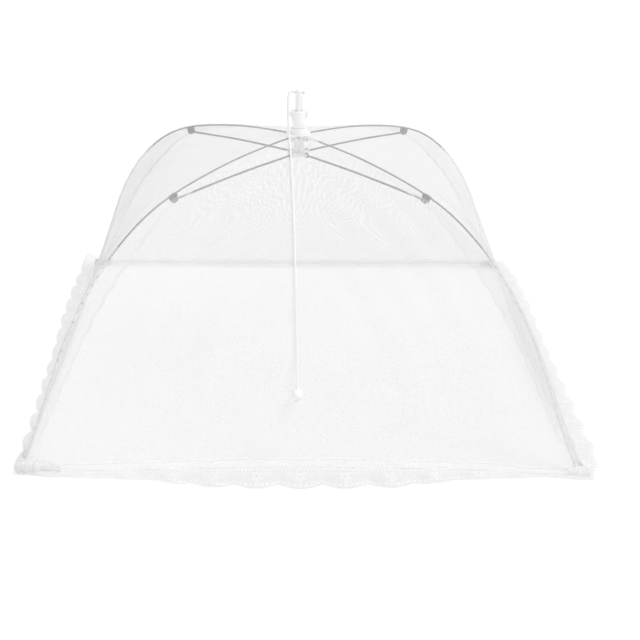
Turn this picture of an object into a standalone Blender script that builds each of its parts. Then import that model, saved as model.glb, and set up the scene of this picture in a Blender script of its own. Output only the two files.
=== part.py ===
"""Pop-up net food cover: four sprung wire ribs on a hub, a runner with struts, and a pull string.

All sizes are in metres, with +Z up and the front at -Y. The origin is on the table, under the hub.
Each corner is drawn in its own frame: X points from the hub's axis to the corner, Y across it.
"""

import math

import bmesh
import bpy
import numpy as np
from mathutils import Matrix, Vector

# Overall
HALF_SPAN = 0.2225  # from the hub's axis to a rib's tip, along X or Y
GAP = 0.0003  # between pieces that touch
CUT_OVERRUN = 0.002  # how far a cutter runs past what it cuts

# Steel wires
RIB_WIRE = 0.0015
STRUT_WIRE = 0.0018
PIN_WIRE = 0.0011
EYE_PLAY = 0.0003  # between a wire eye and its pin
EYE_TURN = math.radians(255)  # how far an eye is bent round its pin
EYE_STEPS = 9

# Hub, on top of the ribs
RIB_PIN_OUT = 0.0037  # from the tube's outer face to the rib pins
RIB_PIN_HEIGHT = 0.2145
TUBE_RADIUS = 0.0048
TUBE_WALL = 0.00105
TUBE_BELOW = 0.0131  # from the rib pins down to the tube's foot
TUBE_ABOVE = 0.0067  # from the rib pins up to the tube's top
EAR_WIDTH = 0.0046
EAR_WALL = 0.0011
EAR_REACH = 0.0022  # past the pin, outwards
EAR_OVER = 0.0020  # over and under the rib pin
TUBE_SLOT_WIDTH = 0.0019
TUBE_SLOT_LENGTH = 0.0049  # up from the tube's foot
TUBE_WINDOW_BELOW = 0.0017  # under the rib pins
TUBE_WINDOW_ABOVE = 0.0021

# Collar and sleeve
COLLAR_WALL = 0.0015  # round the tube
COLLAR_LENGTH = 0.0054
COLLAR_EDGE = 0.0005
SLEEVE_WALL = 0.00235  # round the post
SLEEVE_LENGTH = 0.0152
SLEEVE_EDGE = 0.0006
WING_OUT = 0.0027  # from the sleeve to a wing's tip
WING_OVER = 0.0007  # over the sleeve's top
WING_LENGTH = 0.0091
WING_TIP_DROP = 0.0034  # from a wing's top to its tip
WING_THICKNESS = 0.0044
WING_EDGE = 0.0007

# Runner and post
KNUCKLE_OUT = 0.0050  # from the runner's ring to the knuckle pins
KNUCKLE_DROP = 0.0018  # from the tube's foot to the knuckle pins
RUNNER_WALL = 0.00135
RUNNER_BELOW = 0.0024  # under the knuckle pins
RUNNER_EAR_REACH = 0.0018
RUNNER_PLAY = 0.00035  # round the post's foot
POST_PLAY = 0.00045  # in the tube and the sleeve
POST_OVER = 0.0198  # over the sleeve's top
POST_DOME = 0.0024
POST_FLUTE_RADIUS = 0.0010
POST_EYE_RADIUS = 0.0015
POST_EYE_DROP = 0.0034  # from the post's top to its eye

# Ribs and what they carry
RIB_TIP_HEIGHT = 0.0050
RIB_STEPS = 22
RIB_SHARES = (
    (0.045, 0.999),
    (0.186, 0.982),
    (0.309, 0.955),
    (0.431, 0.916),
    (0.548, 0.856),
    (0.654, 0.761),
    (0.746, 0.638),
    (0.823, 0.492),
    (0.884, 0.332),
    (0.938, 0.165),
    (1.000, 0.000),
)  # of the tip's distance from the axis, and of the rise from the tip to the pin
CLIP_RADIUS = 0.1488  # where the clip sits on the rib
CLIP_LENGTH = 0.0070
CLIP_WIDTH = 0.0044
CLIP_PIN_DROP = 0.0047  # from the rib's wire to the strut's pin
CLIP_SKIRT = 0.0016  # below the strut's pin
CLIP_EDGE = 0.0004
CLIP_SIDE_GAP = 0.0003
CAP_RADIUS = 0.0020
CAP_LENGTH = 0.0105
CAP_ENGAGEMENT = 0.0024  # of the rib's tip in the cap
CAP_EDGE = 0.0008

# Net
NET_THICKNESS = 0.0005
NET_OVER_HUB = 0.0013  # from the wire's middle to the net's, at the hub
NET_OVER_TIP = 0.0019  # the same at the tips, where the net turns a corner
NET_HOLE = 0.0077  # from the axis to the net's inner edge, along a rib
SEAM_SETBACK = 0.00035
MIDDLE_SETBACK = 0.0002
PANEL_SAG = 0.0070
PANEL_ROWS = 14
PANEL_COLUMNS = 6
CORNER_FOLD_DEPTH = 0.0030
CORNER_FOLD_SETBACK = 0.0200
CORNER_FOLD_WIDTH = 0.0070

# Hem and lace: how far each line lies outside the line between the tips, and its height
HEM_THICKNESS = 0.0008
LACE_THICKNESS = 0.0006
HEM_TOP_OUT = (0.0007, -0.0045)  # at the corner, in the middle
HEM_TOP_HEIGHT = (0.0097, 0.0135)
HEM_LOW_OUT = (0.0034, -0.0005)
HEM_LOW_HEIGHT = (0.0046, 0.0065)
LACE_OUT_FRONT = (0.0090, 0.0180)
LACE_OUT_SIDE = (0.0090, 0.0125)
LACE_HEIGHT = 0.0007
SCALLOP_DEPTH = 0.0042
SCALLOPS = 7  # on half a side
SCALLOP_STEPS = 5
RUFFLE = 0.0012
RUFFLE_WAVES = 3.5
HEM_STEPS = 10

# Seam strip, inside along each rib
STRIP_WIDTH = 0.0125
STRIP_THICKNESS = 0.0005
STRIP_ACROSS = 0.0030  # from the rib's plane to the strip's root
STRIP_LEAN = math.radians(18)
STRIP_FROM_SHARE = 0.16
STRIP_TO_SHARE = 0.95
STRIP_STEPS = 12

# Pull string
STRING_RADIUS = 0.0010
STRING_POINTS = 70
KNOT_LENGTH = 0.0030
KNOT_SHARES = ((1.0, 0.6), (0.75, 1.7), (0.35, 1.7), (0.05, 1.1))  # of its length and the string
BEAD_RADIUS = 0.0046
BEAD_BORE = 0.0014
STRING_ROUTE = (
    (0.0048, 0.0000, 0.2553),
    (0.0030, 0.0000, 0.2553),
    (0.0010, 0.0000, 0.2553),
    (-0.0012, 0.0000, 0.2553),
    (-0.0034, 0.0000, 0.2553),
    (-0.0060, -0.0006, 0.2562),
    (-0.0082, -0.0020, 0.2560),
    (-0.0095, -0.0036, 0.2520),
    (-0.0098, -0.0048, 0.2460),
    (-0.0098, -0.0056, 0.2390),
    (-0.0095, -0.0064, 0.2310),
    (-0.0091, -0.0078, 0.2240),
    (-0.0087, -0.0115, 0.2198),
    (-0.0083, -0.0180, 0.2182),
    (-0.0079, -0.0303, 0.2165),
    (-0.0073, -0.0504, 0.2124),
    (-0.0067, -0.0705, 0.2064),
    (-0.0060, -0.0957, 0.1965),
    (-0.0053, -0.1188, 0.1837),
    (-0.0046, -0.1412, 0.1647),
    (-0.0040, -0.1594, 0.1435),
    (-0.0036, -0.1725, 0.1243),
    (-0.0033, -0.1815, 0.1090),
    (-0.0029, -0.1918, 0.0877),
    (-0.0026, -0.2030, 0.0671),
    (-0.0025, -0.2078, 0.0573),
)

ROUND = 24  # sides of a turned piece
SMALL_ROUND = 12

CORNERS = (
    ("front_left", -1, -1),
    ("front_right", 1, -1),
    ("back_right", 1, 1),
    ("back_left", -1, 1),
)

COLOURS = {
    "white_plastic": ((0.90, 0.91, 0.91, 1.0), 0.35, 0.0),
    "grey_plastic": ((0.45, 0.46, 0.47, 1.0), 0.45, 0.0),
    "steel": ((0.16, 0.16, 0.17, 1.0), 0.35, 0.9),
    "net": ((0.93, 0.93, 0.94, 1.0), 0.85, 0.0),
    "lace": ((0.95, 0.95, 0.95, 1.0), 0.90, 0.0),
    "string": ((0.94, 0.94, 0.93, 1.0), 0.80, 0.0),
}


def clear_scene():
    for old in list(bpy.data.objects):
        bpy.data.objects.remove(old, do_unlink=True)


def material_of(kind):
    """The finish named kind, made once."""
    found = bpy.data.materials.get(kind)
    if found:
        return found
    colour, roughness, metallic = COLOURS[kind]
    made = bpy.data.materials.new(kind)
    made.use_nodes = True
    shader = made.node_tree.nodes["Principled BSDF"]
    shader.inputs["Base Color"].default_value = colour
    shader.inputs["Roughness"].default_value = roughness
    shader.inputs["Metallic"].default_value = metallic
    made.diffuse_color = colour
    return made


def add_object(name, data, kind=None, parent=None):
    """Puts data in the scene as one named piece, on parent if one is given."""
    piece = bpy.data.objects.new(name, data)
    bpy.context.collection.objects.link(piece)
    if kind:
        data.materials.append(material_of(kind))
    if parent:
        piece.parent = parent
    return piece


def add_axis(name, place, turn=0.0, parent=None):
    """An empty on a joint's axis, that the pieces of one moving body hang from."""
    empty = bpy.data.objects.new(name, None)
    bpy.context.collection.objects.link(empty)
    empty.location = place
    empty.rotation_euler.z = turn
    if parent:
        empty.parent = parent
    return empty


def mesh_from(name, build, smooth=True):
    """A mesh filled by build(bm), with its faces pointing out."""
    bm = bmesh.new()
    build(bm)
    bmesh.ops.recalc_face_normals(bm, faces=bm.faces)
    mesh = bpy.data.meshes.new(name)
    bm.to_mesh(mesh)
    bm.free()
    if smooth:
        mesh.shade_smooth()
        mesh.set_sharp_from_angle(angle=math.radians(40))
    return mesh


def turned(profile, steps=ROUND):
    """Fills a bmesh with a closed profile of (radius, height) spun about Z."""

    def build(bm):
        verts = [bm.verts.new((r, 0.0, z)) for r, z in profile]
        edges = [bm.edges.new((a, b)) for a, b in zip(verts, verts[1:] + verts[:1])]
        bmesh.ops.spin(
            bm,
            geom=verts + edges,
            cent=(0, 0, 0),
            axis=(0, 0, 1),
            angle=math.tau,
            steps=steps,
            use_merge=True,
        )
        bmesh.ops.remove_doubles(bm, verts=bm.verts, dist=GAP / 100)

    return build


def add_box(bm, low, high):
    """A box between two corners."""
    low, high = Vector(low), Vector(high)
    size = high - low
    place = Matrix.Translation((low + high) / 2) @ Matrix.Diagonal((*size, 1.0))
    return bmesh.ops.create_cube(bm, size=1.0, matrix=place)["verts"]


def add_rod(bm, start, end, radius, sides=SMALL_ROUND):
    """A capped round bar between two points."""
    start, end = Vector(start), Vector(end)
    along = end - start
    turn = along.to_track_quat("Z", "Y").to_matrix().to_4x4()
    place = Matrix.Translation((start + end) / 2) @ turn
    return bmesh.ops.create_cone(
        bm,
        cap_ends=True,
        segments=sides,
        radius1=radius,
        radius2=radius,
        depth=along.length,
        matrix=place,
    )["verts"]


def on_diagonals(bm, verts):
    """Turns verts to the first corner and copies them to the other three."""
    first = Matrix.Rotation(math.pi / 4, 3, "Z")
    bmesh.ops.rotate(bm, verts=verts, matrix=first)
    around(bm, verts)


def around(bm, verts):
    """Copies verts to the other three quarters of a turn."""
    faces = list({f for v in verts for f in v.link_faces})
    for quarter in (1, 2, 3):
        copied = bmesh.ops.duplicate(bm, geom=list(verts) + faces)["geom"]
        moved = [g for g in copied if isinstance(g, bmesh.types.BMVert)]
        bmesh.ops.rotate(bm, verts=moved, matrix=Matrix.Rotation(quarter * math.pi / 2, 3, "Z"))


def tool_piece(name, build, parent=None):
    """A shape that cuts or joins another piece and isn't a piece itself."""
    tool = add_object(name, mesh_from(name, build, smooth=False), parent=parent)
    tool.hide_render = True
    tool.display_type = "WIRE"
    return tool


def combine(piece, tool, operation):
    boolean = piece.modifiers.new(operation.lower(), "BOOLEAN")
    boolean.operation = operation
    boolean.solver = "EXACT"
    boolean.object = tool


def wire(name, points, radius, parent=None, cyclic=False, swell=None, kind="steel"):
    """A round wire along points; swell gives a radius factor for each point."""
    curve = bpy.data.curves.new(name, "CURVE")
    curve.dimensions = "3D"
    curve.bevel_depth = radius
    curve.bevel_resolution = 2
    curve.use_fill_caps = True
    spline = curve.splines.new("POLY")
    spline.points.add(len(points) - 1)
    spline.use_cyclic_u = cyclic
    for index, (target, place) in enumerate(zip(spline.points, points)):
        target.co = (*place, 1.0)
        if swell:
            target.radius = swell[index]
    return add_object(name, curve, kind, parent)


def smooth_curve(points, count):
    """count points along a smooth curve through points, evenly spaced along its length."""
    places = np.array([tuple(p) for p in points], float)
    steps = np.linalg.norm(np.diff(places, axis=0), axis=1)
    at = np.concatenate([[0.0], np.cumsum(np.sqrt(steps))])
    n = len(places)
    gaps = np.diff(at)
    system = np.zeros((n, n))
    right = np.zeros((n, places.shape[1]))
    system[0, 0] = system[-1, -1] = 1.0
    for i in range(1, n - 1):
        system[i, i - 1 : i + 2] = gaps[i - 1], 2 * (gaps[i - 1] + gaps[i]), gaps[i]
        rise = (places[i + 1] - places[i]) / gaps[i] - (places[i] - places[i - 1]) / gaps[i - 1]
        right[i] = 6 * rise
    bend = np.linalg.solve(system, right)

    def value(t):
        i = int(min(max(np.searchsorted(at, t) - 1, 0), n - 2))
        a, b, g = at[i + 1] - t, t - at[i], gaps[i]
        return (
            (bend[i] * a**3 + bend[i + 1] * b**3) / (6 * g)
            + (places[i] / g - bend[i] * g / 6) * a
            + (places[i + 1] / g - bend[i + 1] * g / 6) * b
        )

    fine = np.array([value(t) for t in np.linspace(0, at[-1], 16 * count)])
    run = np.concatenate([[0.0], np.cumsum(np.linalg.norm(np.diff(fine, axis=0), axis=1))])
    wanted = np.linspace(0, run[-1], count)
    return [Vector([np.interp(w, run, fine[:, k]) for k in range(fine.shape[1])]) for w in wanted]


def blend(pair, share):
    """From the first size of pair to the second, easing in and out."""
    eased = share * share * (3 - 2 * share)
    return pair[0] + (pair[1] - pair[0]) * eased


def rib_eye_radius():
    return PIN_WIRE / 2 + EYE_PLAY + RIB_WIRE / 2


def strut_eye_radius():
    return PIN_WIRE / 2 + EYE_PLAY + STRUT_WIRE / 2


def rib_pin_radius():
    """From the hub's axis to the rib pins."""
    return TUBE_RADIUS + RIB_PIN_OUT


def post_bore():
    return TUBE_RADIUS - TUBE_WALL


def post_radius():
    return post_bore() - POST_PLAY


def collar_radius():
    return TUBE_RADIUS + GAP + COLLAR_WALL


def sleeve_radius():
    return post_bore() + SLEEVE_WALL


def wing_reach():
    return sleeve_radius() + WING_OUT


def runner_socket():
    return post_radius() + RUNNER_PLAY


def runner_radius():
    return runner_socket() + RUNNER_WALL


def knuckle_radius():
    """From the hub's axis to the knuckle pins."""
    return runner_radius() + KNUCKLE_OUT


def tube_foot():
    return RIB_PIN_HEIGHT - TUBE_BELOW


def tube_top():
    return RIB_PIN_HEIGHT + TUBE_ABOVE


def net_top_at_hub():
    """Height of the net's upper face round the hub."""
    return RIB_PIN_HEIGHT + rib_eye_radius() + NET_OVER_HUB + NET_THICKNESS / 2


def collar_top():
    return net_top_at_hub() + GAP + COLLAR_LENGTH


def sleeve_top():
    return collar_top() + GAP + SLEEVE_LENGTH


def knuckle_height():
    return tube_foot() - KNUCKLE_DROP


def rib_line():
    """The rib's middle line from the top of its eye to its tip, as (out from the axis, height)."""
    tip = HALF_SPAN * math.sqrt(2)
    top = RIB_PIN_HEIGHT + rib_eye_radius()
    rise = top - RIB_TIP_HEIGHT
    shares = [Vector((s * tip, RIB_TIP_HEIGHT + h * rise)) for s, h in RIB_SHARES]
    return smooth_curve([Vector((rib_pin_radius(), top))] + shares, RIB_STEPS)


def rib_frame(line, radius):
    """The rib's point at a distance from the axis, its direction and its outward normal."""
    for a, b in zip(line, line[1:]):
        if a.x <= radius <= b.x:
            point = a.lerp(b, (radius - a.x) / (b.x - a.x))
            along = (b - a).normalized()
            return point, along, Vector((-along.y, along.x))
    raise ValueError("no rib at that distance from the axis")


def clip_pin_place(line):
    """The strut's pin at the clip, in the corner's plane."""
    point, _, normal = rib_frame(line, CLIP_RADIUS)
    return point - normal * CLIP_PIN_DROP


def eye_points(pin, start, inward, radius):
    """The bent eye round pin: it begins at start, a unit vector from the pin, and turns by way of inward."""
    points = []
    for step in range(EYE_STEPS, 0, -1):
        turn = EYE_TURN * step / EYE_STEPS
        points.append(pin + (start * math.cos(turn) + inward * math.sin(turn)) * radius)
    return points


def in_plane(point, pivot):
    """A point of the corner's plane as a place measured from pivot."""
    return Vector((point.x - pivot.x, 0.0, point.y - pivot.y))


def add_hub():
    """The slotted tube with four forked ears, under the net."""
    tube = turned(
        [
            (post_bore(), tube_foot()),
            (TUBE_RADIUS, tube_foot()),
            (TUBE_RADIUS, tube_top()),
            (post_bore(), tube_top()),
        ]
    )
    hub = add_object("crown_hub", mesh_from("crown_hub", tube), "grey_plastic")
    low = RIB_PIN_HEIGHT - EAR_OVER
    high = RIB_PIN_HEIGHT + EAR_OVER
    reach = rib_pin_radius() + EAR_REACH
    root = (post_bore() + TUBE_RADIUS) / 2

    def ears(bm):
        on_diagonals(bm, add_box(bm, (root, -EAR_WIDTH / 2, low), (reach, EAR_WIDTH / 2, high)))

    def forks(bm):
        half = EAR_WIDTH / 2 - EAR_WALL
        inner = rib_pin_radius() - rib_eye_radius() - RIB_WIRE / 2 - GAP
        box = (inner, -half, low - CUT_OVERRUN), (reach + CUT_OVERRUN, half, high + CUT_OVERRUN)
        on_diagonals(bm, add_box(bm, *box))

    def pin_holes(bm):
        hole = PIN_WIRE / 2 + GAP
        ends = [(rib_pin_radius(), side * EAR_WIDTH, RIB_PIN_HEIGHT) for side in (-1, 1)]
        on_diagonals(bm, add_rod(bm, *ends, hole))

    def tube_slots(bm):
        half = TUBE_SLOT_WIDTH / 2
        inner, outer = post_bore() / 2, TUBE_RADIUS + CUT_OVERRUN
        foot = tube_foot()
        window_low = RIB_PIN_HEIGHT - TUBE_WINDOW_BELOW
        window_top = RIB_PIN_HEIGHT + TUBE_WINDOW_ABOVE
        low_slot = (inner, -half, foot - CUT_OVERRUN), (outer, half, foot + TUBE_SLOT_LENGTH)
        window = (inner, -half, window_low), (outer, half, window_top)
        around(bm, add_box(bm, *low_slot))
        around(bm, add_box(bm, *window))

    combine(hub, tool_piece("hub_ears", ears), "UNION")
    combine(hub, tool_piece("hub_forks", forks), "DIFFERENCE")
    combine(hub, tool_piece("hub_pin_holes", pin_holes), "DIFFERENCE")
    combine(hub, tool_piece("hub_slots", tube_slots), "DIFFERENCE")
    return hub


def add_collar():
    """The ring that presses the net down and grips the tube's top."""
    foot, top = net_top_at_hub() + GAP, collar_top()
    socket = TUBE_RADIUS + GAP
    profile = [
        (socket, foot),
        (collar_radius() - COLLAR_EDGE, foot),
        (collar_radius(), foot + COLLAR_EDGE),
        (collar_radius(), top - COLLAR_EDGE),
        (collar_radius() - COLLAR_EDGE, top),
        (post_bore(), top),
        (post_bore(), tube_top() + GAP),
        (socket, tube_top() + GAP),
    ]
    return add_object("crown_collar", mesh_from("crown_collar", turned(profile)), "white_plastic")


def add_sleeve():
    """The sleeve with its two finger wings, and the bore that guides the post."""
    foot, top = collar_top() + GAP, sleeve_top()
    wing_top = top + WING_OVER
    wing_foot = wing_top - WING_LENGTH
    wing_tip = wing_top - WING_TIP_DROP
    profile = [
        (post_bore(), foot),
        (sleeve_radius(), foot),
        (sleeve_radius(), top - SLEEVE_EDGE),
        (sleeve_radius() - SLEEVE_EDGE, top),
        (post_bore(), top),
    ]
    sleeve = add_object("crown_sleeve", mesh_from("crown_sleeve", turned(profile)), "white_plastic")

    def wings(bm):
        outline = [
            (sleeve_radius() - WING_EDGE, wing_foot),
            (sleeve_radius(), wing_foot),
            ((sleeve_radius() + wing_reach()) / 2, (wing_foot + wing_tip) / 2 - WING_EDGE),
            (wing_reach(), wing_tip),
            (wing_reach() - WING_EDGE, (wing_tip + wing_top) / 2),
            (sleeve_radius(), wing_top - WING_EDGE / 2),
            ((post_bore() + sleeve_radius()) / 2, wing_top),
            ((post_bore() + sleeve_radius()) / 2, wing_foot + WING_EDGE),
        ]
        for side in (-1, 1):
            face = bm.faces.new([bm.verts.new((side * x, -WING_THICKNESS / 2, z)) for x, z in outline])
            out = bmesh.ops.extrude_face_region(bm, geom=[face])["geom"]
            moved = [g for g in out if isinstance(g, bmesh.types.BMVert)]
            bmesh.ops.translate(bm, verts=moved, vec=(0, WING_THICKNESS, 0))

    def bore(bm):
        add_rod(bm, (0, 0, foot - CUT_OVERRUN), (0, 0, wing_top + CUT_OVERRUN), post_bore(), ROUND)

    combine(sleeve, tool_piece("sleeve_wings", wings), "UNION")
    combine(sleeve, tool_piece("sleeve_bore", bore), "DIFFERENCE")
    return sleeve


def add_pin(name, parent, place, length):
    """A plain pin across a fork, centred on place."""

    def build(bm):
        add_rod(bm, place + Vector((0, -length / 2, 0)), place + Vector((0, length / 2, 0)), PIN_WIRE / 2)

    return add_object(name, mesh_from(name, build), "steel", parent)


def add_runner(parent):
    """The ring that slides under the hub, with four forked ears for the struts."""
    foot, top = -RUNNER_BELOW, KNUCKLE_DROP - GAP
    ring = turned(
        [
            (runner_socket(), foot),
            (runner_radius(), foot),
            (runner_radius(), top),
            (runner_socket(), top),
        ]
    )
    runner = add_object("runner", mesh_from("runner", ring), "grey_plastic", parent)
    root = (runner_socket() + runner_radius()) / 2
    reach = knuckle_radius() + RUNNER_EAR_REACH
    half = EAR_WIDTH / 2 - EAR_WALL

    def ears(bm):
        on_diagonals(bm, add_box(bm, (root, -EAR_WIDTH / 2, foot), (reach, EAR_WIDTH / 2, top)))

    def forks(bm):
        inner = runner_radius() + EAR_WALL / 2
        box = (inner, -half, foot - CUT_OVERRUN), (reach + CUT_OVERRUN, half, top + CUT_OVERRUN)
        on_diagonals(bm, add_box(bm, *box))

    def pin_holes(bm):
        ends = [(knuckle_radius(), side * EAR_WIDTH, 0.0) for side in (-1, 1)]
        on_diagonals(bm, add_rod(bm, *ends, PIN_WIRE / 2 + GAP))

    combine(runner, tool_piece("runner_ears", ears, parent), "UNION")
    combine(runner, tool_piece("runner_forks", forks, parent), "DIFFERENCE")
    combine(runner, tool_piece("runner_pin_holes", pin_holes, parent), "DIFFERENCE")
    return runner


def add_post(parent):
    """The fluted post that stands in the runner and carries the string's eye."""
    foot = GAP - RUNNER_BELOW
    top = sleeve_top() + POST_OVER - knuckle_height()
    profile = [
        (0.0, foot),
        (post_radius(), foot),
        (post_radius(), top - POST_DOME),
        (post_radius() * math.cos(math.pi / 6), top - POST_DOME / 2),
        (post_radius() / 2, top - POST_DOME / 8),
        (0.0, top),
    ]
    post = add_object("pull_post", mesh_from("pull_post", turned(profile)), "white_plastic", parent)

    def flutes(bm):
        rod = add_rod(
            bm,
            (post_radius(), 0.0, KNUCKLE_DROP),
            (post_radius(), 0.0, top - POST_EYE_DROP * 2),
            POST_FLUTE_RADIUS,
            SMALL_ROUND - 4,
        )
        on_diagonals(bm, rod)

    def eye(bm):
        height = top - POST_EYE_DROP
        reach = post_radius() + CUT_OVERRUN
        add_rod(bm, (-reach, 0, height), (reach, 0, height), POST_EYE_RADIUS)

    combine(post, tool_piece("post_flutes", flutes, parent), "DIFFERENCE")
    combine(post, tool_piece("post_eye", eye, parent), "DIFFERENCE")
    return post


def add_rib(name, line, pivot, parent):
    """One sprung wire rib with its bent eye."""
    eye = eye_points(pivot, Vector((0, 1)), Vector((-1, 0)), rib_eye_radius())
    places = [in_plane(p, pivot) for p in eye + line]
    return wire(f"{name}_rib", places, RIB_WIRE / 2, parent)


def add_clip(name, line, pivot, parent):
    """The saddle under the rib: a block with a groove for the wire and a slot for the strut's eye."""
    point, along, normal = rib_frame(line, CLIP_RADIUS)
    pin = clip_pin_place(line)
    turn = math.atan2(along.y, along.x)
    length, drop = CLIP_LENGTH, CLIP_PIN_DROP + CLIP_SKIRT
    place = in_plane(point, pivot)
    frame = Matrix.Translation(place) @ Matrix.Rotation(-turn, 4, "Y")

    def body(bm):
        verts = add_box(bm, (-length / 2, -CLIP_WIDTH / 2, -drop), (length / 2, CLIP_WIDTH / 2, 0.0))
        upright = [e for e in bm.edges if abs(e.verts[0].co.x - e.verts[1].co.x) < GAP]
        bmesh.ops.bevel(bm, geom=upright, offset=CLIP_EDGE, segments=1, affect="EDGES")
        bmesh.ops.transform(bm, matrix=frame, verts=bm.verts)
        return verts

    def groove(bm):
        reach = length / 2 + CUT_OVERRUN
        room = RIB_WIRE / 2 + GAP
        add_box(bm, (-reach, -room, -room), (reach, room, CUT_OVERRUN))
        bmesh.ops.transform(bm, matrix=frame, verts=bm.verts)

    def slot(bm):
        half = STRUT_WIRE / 2 + CLIP_SIDE_GAP
        reach = length / 2 + CUT_OVERRUN
        top = -CLIP_PIN_DROP + strut_eye_radius() + STRUT_WIRE / 2 + GAP
        add_box(bm, (-reach, -half, -drop - CUT_OVERRUN), (reach, half, top))
        bmesh.ops.transform(bm, matrix=frame, verts=bm.verts)

    def pin_hole(bm):
        place = in_plane(pin, pivot)
        across = Vector((0, CLIP_WIDTH, 0))
        add_rod(bm, place - across, place + across, PIN_WIRE / 2 + GAP)

    clip = add_object(f"{name}_clip", mesh_from(f"{name}_clip", body, smooth=False), "steel", parent)
    combine(clip, tool_piece(f"{name}_clip_groove", groove, parent), "DIFFERENCE")
    combine(clip, tool_piece(f"{name}_clip_slot", slot, parent), "DIFFERENCE")
    combine(clip, tool_piece(f"{name}_clip_hole", pin_hole, parent), "DIFFERENCE")
    return clip


def add_tip_cap(name, line, pivot, parent):
    """The cap on the rib's tip; its flat foot is what the cover stands on."""
    tip, along = line[-1], (line[-1] - line[-2]).normalized()
    turn = math.atan2(along.y, along.x)
    mouth = -CAP_ENGAGEMENT
    end = mouth + CAP_LENGTH
    room = RIB_WIRE / 2 + GAP
    profile = [
        (0.0, GAP),
        (room, GAP),
        (room, mouth),
        (CAP_RADIUS - CAP_EDGE / 2, mouth),
        (CAP_RADIUS, mouth + CAP_EDGE),
        (CAP_RADIUS, end - CAP_EDGE),
        (CAP_RADIUS - CAP_EDGE, end),
        (0.0, end),
    ]
    to_rib = Matrix.Rotation(math.pi / 2 - turn, 4, "Y")
    frame = Matrix.Translation(in_plane(tip, pivot)) @ to_rib

    def body(bm):
        turned(profile, SMALL_ROUND)(bm)
        bmesh.ops.transform(bm, matrix=frame, verts=bm.verts)

    def below_table(bm):
        middle = tip.x - pivot.x
        half = CAP_LENGTH
        low = (middle - half, -half, -pivot.y - 2 * half)
        add_box(bm, low, (middle + half, half, -pivot.y))

    cap = add_object(f"{name}_tip_cap", mesh_from(f"{name}_tip_cap", body), "white_plastic", parent)
    combine(cap, tool_piece(f"{name}_cap_floor", below_table, parent), "DIFFERENCE")
    return cap


def add_strut(name, line, parent):
    """A straight wire with an eye on the clip's pin; its inner end lies under the knuckle pin."""
    pin = clip_pin_place(line)
    knuckle = Vector((knuckle_radius(), knuckle_height()))
    inward = (knuckle - pin).normalized()
    under = Vector((-inward.y, inward.x))
    if under.y > 0:
        under = -under
    radius = strut_eye_radius()
    end = knuckle + under * radius
    eye = eye_points(pin, under, -inward, radius)
    places = [in_plane(p, pin) for p in eye + [pin + under * radius, end]]
    return wire(f"{name}_strut", places, STRUT_WIRE / 2, parent)


def hem_line(out, height, share):
    """A point of the hem in the corner's frame: share is 0 at the corner and 1 in the side's middle."""
    outset = blend(out, share)
    along = (HALF_SPAN + blend(out, 0.0)) * (1 - share)
    across = HALF_SPAN + outset
    return Vector(((across + along) / math.sqrt(2), (across - along) / math.sqrt(2), height))


def panel_point(line, row, share):
    """A point of the net's middle surface: row runs from hub to hem, share from rib to the side's middle."""
    inner = Vector((NET_HOLE, line[0].y))
    lift = NET_OVER_HUB + (NET_OVER_TIP - NET_OVER_HUB) * row
    last = len(line) - 1
    at = row * last
    index = min(int(at), last - 1)
    point = line[index].lerp(line[index + 1], at - index)
    along = (line[index + 1] - line[index]).normalized()
    normal = Vector((-along.y, along.x))
    point = point + normal * lift
    point.x += (inner.x - line[0].x) * (1 - row) ** last
    half = point.x / math.sqrt(2)
    across, side = half, half * (1 - share)
    edge_height = point.y
    droop = 1 - (1 - share) ** 2
    sag = PANEL_SAG * math.sin(math.pi * row) ** 2 * droop
    chord = share * half
    fold = math.exp(-(((chord - CORNER_FOLD_SETBACK) / CORNER_FOLD_WIDTH) ** 2))
    sag += CORNER_FOLD_DEPTH * fold * row**3
    across -= sag * max(normal.x, 0.0)
    height = edge_height - sag * max(normal.y, 0.0)
    return Vector(((across + side) / math.sqrt(2), (across - side) / math.sqrt(2), height))


def panel_grid(line, rows, columns):
    """Rows of points of half a panel; its last row is the hem's top line."""
    grid = []
    start = SEAM_SETBACK
    hem_gap = GAP + NET_THICKNESS / 2
    for i in range(rows + 1):
        row = i / rows
        points = []
        for j in range(columns + 1):
            share = j / columns
            free = panel_point(line, row, share)
            hem_height = blend(HEM_TOP_HEIGHT, share) + hem_gap
            pull = hem_line(HEM_TOP_OUT, hem_height, share) - panel_point(line, 1.0, share)
            points.append(free + pull * row**5)
        first, last = points[0], points[-1]
        points[0] = first + Vector((0, start, 0))
        points[-1] = last + Vector((1, -1, 0)).normalized() * MIDDLE_SETBACK
        grid.append(points)
    return grid


def sheet_from(name, grid, thickness, mirrored, pivot, kind, parent):
    """A thin closed sheet from a grid of points in the corner's frame."""
    flip = -1 if mirrored else 1
    origin = Vector((pivot.x, 0.0, pivot.y))

    def build(bm):
        rows = [[bm.verts.new((Vector((p.x, flip * p.y, p.z)) - origin)) for p in row] for row in grid]
        for a, b in zip(rows, rows[1:]):
            for j in range(len(a) - 1):
                bm.faces.new((a[j], a[j + 1], b[j + 1], b[j]))

    mesh = mesh_from(name, build)
    piece = add_object(name, mesh, kind, parent)
    solid = piece.modifiers.new("thickness", "SOLIDIFY")
    solid.thickness = thickness
    solid.offset = 0.0
    solid.use_even_offset = False
    return piece


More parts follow.
